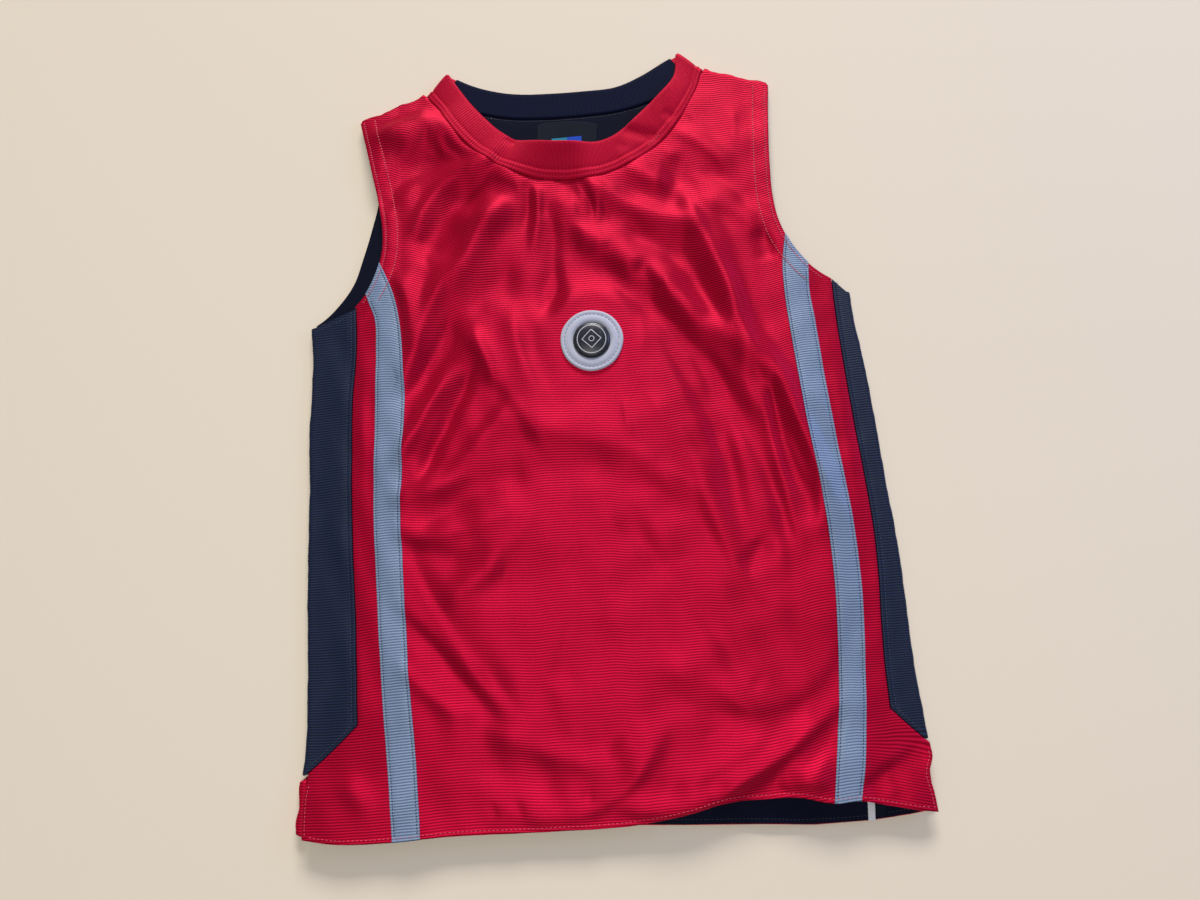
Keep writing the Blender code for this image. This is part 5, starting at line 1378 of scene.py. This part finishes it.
def rubber():
    """Moulded rubber: satin, with the finest grain and a little dust."""
    material, tree, shader = nodes_for("moulded_rubber")
    coords = node(tree, "ShaderNodeTexCoord")
    grain_fac = noise_node(tree, coords.outputs["Object"], 2600.0, 2.0)
    dust = soft_step(tree, noise_node(tree, coords.outputs["Object"], 420.0, 5.0, 0.65), 0.52, 0.78)
    colour = blend_node(tree, math_node(tree, "MULTIPLY", dust, 0.35), (0.017, 0.019, 0.028), (0.10, 0.11, 0.14))
    link(tree, colour, shader.inputs["Base Color"])
    link(tree, math_node(tree, "MULTIPLY_ADD", dust, 0.25, 0.33), shader.inputs["Roughness"])
    bump = tree.nodes.new("ShaderNodeBump")
    bump.inputs["Distance"].default_value = 0.03 * MM
    link(tree, grain_fac, bump.inputs["Height"])
    link(tree, bump.outputs[0], shader.inputs["Normal"])
    return material


def pale_rubber():
    material, tree, shader = nodes_for("pale_moulded_line")
    coords = node(tree, "ShaderNodeTexCoord")
    fade_fac = noise_node(tree, coords.outputs["Object"], 300.0, 4.0)
    link(tree, blend_node(tree, fade_fac, (0.45, 0.47, 0.52), (0.80, 0.81, 0.84)), shader.inputs["Base Color"])
    shader.inputs["Roughness"].default_value = 0.5
    return material


dome_base = patch_z + 1.0
lean = np.linspace(0, math.pi / 2, 16)[:-1]
profile = [(DOME_R - 0.5, dome_base - 0.2), (DOME_R - 0.05, dome_base)] + [
    (DOME_R * math.cos(a) ** 0.9, dome_base + 0.25 + 3.0 * math.sin(a)) for a in lean] + [(0.35, dome_base + 3.25)]
dome = lathe("patch_dome_rubber", profile, (PATCH_X, PATCH_Y), 96, rubber())
carry(dome, "patch_dark", "patch_dome")


def dome_z(x, y):
    r = np.clip(np.hypot(x - PATCH_X, y - PATCH_Y) / DOME_R, 0, 0.9999)
    a = np.arccos(r ** (1 / 0.9))
    return dome_base + 0.25 + 3.0 * np.sin(a)


def bead(path, z, radius, closed, sides=6):
    """A fine raised line along a path of points in the plane, at the heights given."""
    path = np.column_stack([path, z])
    if closed:
        along = np.roll(path, -1, axis=0) - np.roll(path, 1, axis=0)
    else:
        along = np.gradient(path, axis=0)
    along /= np.linalg.norm(along, axis=1)[:, None]
    side = np.cross(along, [0, 0, 1.0])
    side /= np.linalg.norm(side, axis=1)[:, None]
    up = np.cross(side, along)
    a = np.linspace(0, 2 * math.pi, sides, endpoint=False)
    rings = path[:, None] + radius * (np.cos(a)[None, :, None] * side[:, None] + np.sin(a)[None, :, None] * up[:, None])
    k = len(path)
    index = np.arange(k * sides).reshape(k, sides)
    ahead = np.roll(index, -1, axis=0)
    if not closed:
        index, ahead = index[:-1], ahead[:-1]
    quads = np.stack([index, np.roll(index, -1, axis=1), np.roll(ahead, -1, axis=1), ahead], axis=-1).reshape(-1, 4)
    caps = []
    if not closed:
        full = np.arange(k * sides).reshape(k, sides)
        caps = [full[0][::-1][None], full[-1][None]]
    return rings.reshape(-1, 3), quads, caps


def join(name, parts, material):
    verts, faces, start = [], {}, 0
    for pts, quads, caps in parts:
        verts.append(pts)
        for f in [quads, *caps]:
            f = np.asarray(f)
            faces.setdefault(f.shape[1], []).append(f + start)
        start += len(pts)
    verts = np.vstack(verts)
    return mesh_object(name, verts, [np.vstack(f) for f in faces.values()], verts[:, :2].copy(), [material])


parts = []
a = np.linspace(0, 2 * math.pi, 72, endpoint=False)
ring_xy = np.column_stack([PATCH_X + 8.4 * np.cos(a), PATCH_Y + 8.4 * np.sin(a)])
parts.append(bead(ring_xy, dome_z(*ring_xy.T) + 0.02, 0.26, True))
corners = np.array([[PATCH_X + 5.6 * math.cos(k * math.pi / 2), PATCH_Y + 5.6 * math.sin(k * math.pi / 2)] for k in range(5)])
square = resample(corners, 0.6)[:-1]
parts.append(bead(square, dome_z(*square.T) + 0.02, 0.26, True))
small = np.column_stack([PATCH_X + 1.5 * np.cos(a[::3]), PATCH_Y + 1.5 * np.sin(a[::3])])
parts.append(bead(small, dome_z(*small.T) + 0.02, 0.24, True))
lines = join("patch_dome_lines", parts, pale_rubber())
carry(lines, "patch_pale")

# ---------------------------------------------------------------- labels
LABEL_Z = Z_LINING + WALL_LINING + GAP


def label_material():
    """A dark woven label with one plain coloured block."""
    material, tree, shader = nodes_for("neck_label_weave")
    uv, u, v = cloth_lines(tree)
    weave = math_node(tree, "MULTIPLY", wave(tree, u, 0.5), wave(tree, v, 0.6))
    colour = blend_node(tree, weave, (0.003, 0.005, 0.011), (0.014, 0.020, 0.038))
    # the block: u from -14 to 6 mm and v up to 178 mm, in the garment's own lengths
    block = math_node(tree, "MULTIPLY", math_node(tree, "GREATER_THAN", u, -0.125), math_node(tree, "LESS_THAN", u, 0.060))
    block = math_node(tree, "MULTIPLY", block, math_node(tree, "LESS_THAN", v, 1.795))
    blue = blend_node(tree, math_node(tree, "GREATER_THAN", u, -0.030), (0.01, 0.26, 0.36), (0.010, 0.07, 0.55))
    blue = blend_node(tree, math_node(tree, "MULTIPLY", weave, 0.35), blue, (0.10, 0.22, 0.55))
    colour = blend_node(tree, block, colour, blue)
    link(tree, colour, shader.inputs["Base Color"])
    bump = tree.nodes.new("ShaderNodeBump")
    bump.inputs["Distance"].default_value = 0.06 * MM
    link(tree, weave, bump.inputs["Height"])
    link(tree, bump.outputs[0], shader.inputs["Normal"])
    shader.inputs["Roughness"].default_value = 0.7
    shader.inputs["Specular IOR Level"].default_value = 0.12
    return material


def loop(corners, step):
    return resample(np.array(list(corners) + [corners[0]], float), step)[:-1]


neck_label_outline = ((-22.8, 162.0), (14.2, 159.4), (16.2, 186.6), (10.0, 188.6), (-2.0, 190.2), (-14.0, 190.6), (-21.0, 189.2))
label = flat_cloth("neck_label_cloth", loop(neck_label_outline, 1.0), 1.5,
                   lambda p: lining_top(p) + 0.65 + 0.12 * np.sin(p[:, 0] / 6.0), 0.5, [label_material()], rim=0.3, rows=(0.15, 0.4, 1.2), uv=plain_grain)
carry(label, "label_dark", "neck_label")


def tape_top(p):
    return lining_top(p) + 0.55 + 0.25 * soft((-222.0 - p[:, 1]) / 8.0) + 0.10 * np.sin(p[:, 1] / 3.0)


tag = flat_cloth("care_tag_tape", loop(((137.2, -229.2), (141.0, -229.4), (142.6, -206.0), (138.8, -205.8)), 0.8), 0.9, tape_top, 0.4,
                 [white_tape], rim=0.25, rows=(0.12, 0.35), uv=plain_grain)
carry(tag, "label_white", "care_tag")
leaf = flat_cloth("care_tag_leaf_cloth", loop(((141.5, -228.0), (147.2, -227.6), (148.6, -206.4), (143.1, -206.1)), 0.8), 0.9,
                  lambda p: tape_top(p) - 0.1 + 0.15 * np.sin(p[:, 0] / 1.8), 0.4, [label_cloth], rim=0.25, rows=(0.12, 0.35), uv=plain_grain)
carry(leaf, "label_dark", "care_tag_leaf")

# ---------------------------------------------------------------- stitches, as joined meshes
_c = np.linspace(0, 2 * math.pi, 6, endpoint=False)
_profile = ((-0.5, 0.0), (-0.38, 0.75), (-0.12, 1.0), (0.12, 1.0), (0.38, 0.75), (0.5, 0.0))


def stitch_template():
    verts = [(-0.5, 0, 0)]
    for x, r in _profile[1:-1]:
        verts += [(x, r * math.cos(a), r * math.sin(a)) for a in _c]
    verts.append((0.5, 0, 0))
    tris = []
    for k in range(6):
        tris.append((0, 1 + (k + 1) % 6, 1 + k))
        last = 1 + 3 * 6
        tris.append((len(verts) - 1, last + k, last + (k + 1) % 6))
    quads = []
    for ring_no in range(3):
        a0, b0 = 1 + ring_no * 6, 1 + (ring_no + 1) * 6
        for k in range(6):
            quads.append((a0 + k, a0 + (k + 1) % 6, b0 + (k + 1) % 6, b0 + k))
    return np.array(verts, float), np.array(tris), np.array(quads)


TEMPLATE = stitch_template()
jitter = np.random.default_rng(5)


def stitch_line(path, height, pitch=1.9, length=1.35, radius=0.19, slant=0.0, rise=0.06, swing=0.05):
    """(points, triangles, quads) of a row of stitches along a path, lying on a surface."""
    path = np.asarray(path, float)
    total = lengths(path)[-1]
    at = np.arange(pitch / 2, total - pitch / 2, pitch)
    at = at + jitter.normal(0, 0.06, len(at))
    mid = walk(path, at)
    along = walk(path, at + 0.3) - walk(path, at - 0.3)
    along /= np.linalg.norm(along, axis=1)[:, None]
    angle = slant + jitter.normal(0, swing, len(at))
    ca, sa = np.cos(angle), np.sin(angle)
    along = np.column_stack([along[:, 0] * ca - along[:, 1] * sa, along[:, 0] * sa + along[:, 1] * ca])
    a, b = mid - along * length / 2, mid + along * length / 2
    za, zb, zm = height(a), height(b), height(mid)
    a3, b3 = np.column_stack([a, za]), np.column_stack([b, zb])
    x = b3 - a3
    size = np.linalg.norm(x, axis=1)
    x /= size[:, None]
    y = np.cross([0, 0, 1.0], x)
    y /= np.linalg.norm(y, axis=1)[:, None]
    z = np.cross(x, y)
    centre = (a3 + b3) / 2
    centre[:, 2] = np.maximum(centre[:, 2], zm) + rise
    verts, tris, quads = TEMPLATE
    pts = (centre[:, None] + verts[None, :, :1] * (x * size[:, None])[:, None] + verts[None, :, 1:2] * radius * y[:, None]
           + verts[None, :, 2:3] * radius * 0.8 * z[:, None])
    n = len(verts)
    shift = np.arange(len(at)) * n
    return pts.reshape(-1, 3), (tris[None] + shift[:, None, None]).reshape(-1, 3), (quads[None] + shift[:, None, None]).reshape(-1, 4)


def stitches(name, rows, material, slot):
    pts, tris, quads, start = [], [], [], 0
    for p, t3, q4 in rows:
        pts.append(p)
        tris.append(t3 + start)
        quads.append(q4 + start)
        start += len(p)
    pts = np.vstack(pts)
    obj = mesh_object(name, pts, [np.vstack(tris), np.vstack(quads)], pts[:, :2].copy(), [material])
    return carry(obj, slot)


red_thread = thread("red_thread", (0.92, 0.13, 0.19), 0.45)
grey_thread = thread("dark_grey_thread", (0.020, 0.030, 0.060))
pale_thread = thread("pale_grey_thread", (0.42, 0.46, 0.56))
blue_thread = thread("slate_thread", (0.055, 0.080, 0.130))
black_thread = thread("black_thread", (0.045, 0.05, 0.075))


def clear_of(path, low_y=-1e9, high_y=1e9):
    path = np.asarray(path, float)
    return path[(path[:, 1] > low_y) & (path[:, 1] < high_y)]


rows = [
    stitch_line(ARM_R_OUT, skin, pitch=1.75, length=1.15, radius=0.28, slant=0.5, rise=0.12),
    stitch_line(ARM_R_IN, skin, pitch=1.9, length=1.3, radius=0.30, rise=0.12),
    stitch_line(ARM_L_OUT, skin, pitch=1.75, length=1.15, radius=0.28, slant=-0.5, rise=0.12),
    stitch_line(ARM_L_IN, skin, pitch=1.9, length=1.3, radius=0.30, rise=0.12),
    stitch_line(HEM_ROW, skin, pitch=2.4, length=1.5, radius=0.15),
    stitch_line(offset(rounded(LEFT_VENT, STEP), 1.8)[2:-1], skin, pitch=2.2, length=1.5, radius=0.17),
    stitch_line(offset(rounded(RIGHT_VENT, STEP), 1.8)[1:-2], skin, pitch=2.2, length=1.5, radius=0.17),
]
# the row along the neckband's seam, on the raised strip over the seam allowance
band_front, band_run = stations(NECK_FRONT, 1.0)
band_line = band_front[:, :2] + (band_front[:, 2:] - band_front[:, :2]) * 0.88
_band_z = under(band_line) + WALL / 2 + 1.02
band_tree = KDTree(len(band_line))
for i, (x, y) in enumerate(band_line.tolist()):
    band_tree.insert((x, y, 0.0), i)
band_tree.balance()


def band_skin(points):
    near = np.array([band_tree.find((x, y, 0.0))[1] for x, y in points.tolist()])
    return _band_z[near]


rows.append(stitch_line(band_line[4:-4], band_skin, pitch=2.0, length=1.3, radius=0.17))
stitches("stitches_red", rows, red_thread, "red_satin")

rows = []
for name in ("left", "right"):
    left, right = ribbon_sides[name]
    for path, turn in ((offset(left[::6], -1.5), 0.35), (offset(right[::6], 1.5), -0.35)):
        rows.append(stitch_line(path[2:-2], skin, pitch=1.95, length=1.25, radius=0.22, slant=turn, rise=0.0))
stitches("stitches_stripe", rows, grey_thread, "grey_ribbon")

rows = []
for row in SIDE_PANELS:
    sign = side_edges(row[0])[2]
    y = np.linspace(row[1] + 1.0, row[2] - 1.5, 220)
    line = np.column_stack([side_point(row[0], 1.0, y) - sign * 2.9, y])
    rows.append(stitch_line(line, lambda p: top(p) - 0.22, pitch=2.2, length=1.5, radius=0.17, rise=0.02))
    slope = diagonal(row, -2.9, shares=(0.94, 0.66, 0.33, 0.08))
    rows.append(stitch_line(slope, lambda p: top(p) - 0.05, pitch=2.2, length=1.5, radius=0.17, rise=0.02))
    shares = np.array([0.96, 0.75, 0.5, 0.25, 0.05])
    ys_top = row[4] + shares * (row[2] - row[4])
    hem_top = np.column_stack([[float(side_point(row[0], s, yy)[0]) for s, yy in zip(shares, ys_top)], ys_top - 2.6])
    rows.append(stitch_line(resample(hem_top, 1.0), lambda p: top(p) - 0.2, pitch=2.2, length=1.4, radius=0.17, rise=0.02))
stitches("stitches_navy", rows, blue_thread, "navy_cloth")

rows = [stitch_line(LINING_ROW[12:-6], lambda p: lining_top(p), pitch=2.1, length=1.3, radius=0.16)]
seam_in = BACK_BAND[4:-4, 2:] - [0.0, 1.6]
rows.append(stitch_line(seam_in, lambda p: lining_top(p) + 0.02, pitch=2.0, length=1.3, radius=0.16))
stitches("stitches_lining", rows, black_thread, "black_lining")

a = np.linspace(0, 2 * math.pi, 200)
ring_path = np.column_stack([PATCH_X + (PATCH_R - 2.5) * np.cos(a), PATCH_Y + (PATCH_R - 2.5) * np.sin(a)])
stitches("stitches_patch", [stitch_line(ring_path, lambda p: np.full(len(p), patch_z + 1.22), pitch=2.4, length=1.8, radius=0.24)], pale_thread, "patch_pale")

# ---------------------------------------------------------------- floor, light and camera
bpy.ops.mesh.primitive_plane_add(size=6.0, location=(0, 0, -0.0003))
floor = bpy.context.object
floor.name = "floor"
material, tree, shader = nodes_for("plain_pale_floor")
shader.inputs["Base Color"].default_value = (0.88, 0.78, 0.63, 1.0)
shader.inputs["Roughness"].default_value = 0.75
shader.inputs["Specular IOR Level"].default_value = 0.25
floor.data.materials.append(material)


def area_light(name, at, to, size, size_y, power, colour):
    data = bpy.data.lights.new(name, "AREA")
    data.shape = "RECTANGLE"
    data.size, data.size_y = size, size_y
    data.energy = power
    data.color = colour
    lamp = bpy.data.objects.new(name, data)
    bpy.context.scene.collection.objects.link(lamp)
    lamp.location = at
    lamp.rotation_euler = (Vector(to) - Vector(at)).to_track_quat("-Z", "Y").to_euler()
    return lamp


area_light("window", (0.42, 4.10, 1.68), (0.0, -0.05, 0.0), 2.4, 0.9, 196.0, (1.0, 0.98, 0.95))
area_light("ceiling", (-0.15, -0.42, 1.70), (0.0, -0.12, 0.0), 1.0, 0.7, 10.0, (1.0, 0.97, 0.94))
area_light("sky", (1.3, 0.45, 0.55), (0.0, 0.0, 0.0), 0.5, 0.5, 5.0, (0.30, 0.38, 1.0))
world = bpy.data.worlds.new("studio")
bpy.context.scene.world = world
world.use_nodes = True
world.node_tree.nodes["Background"].inputs["Color"].default_value = (0.93, 0.95, 1.0, 1.0)
world.node_tree.nodes["Background"].inputs["Strength"].default_value = 0.20

camera_data = bpy.data.cameras.new("camera")
camera_data.sensor_width = 36.0
camera_data.lens = 27.06
camera_data.clip_start = 0.01
camera = bpy.data.objects.new("camera", camera_data)
bpy.context.scene.collection.objects.link(camera)
right_dir, up_dir, back_dir = Vector((0.9971, -0.0603, -0.0469)), Vector((0.0675, 0.9833, 0.1690)), Vector((0.0359, -0.1717, 0.9845))
camera.matrix_world = Matrix((
    (right_dir.x, up_dir.x, back_dir.x, 0.0246),
    (right_dir.y, up_dir.y, back_dir.y, -0.10825),
    (right_dir.z, up_dir.z, back_dir.z, 0.5197),
    (0, 0, 0, 1),
))
bpy.context.scene.camera = camera
bpy.context.scene.view_settings.view_transform = "Standard"
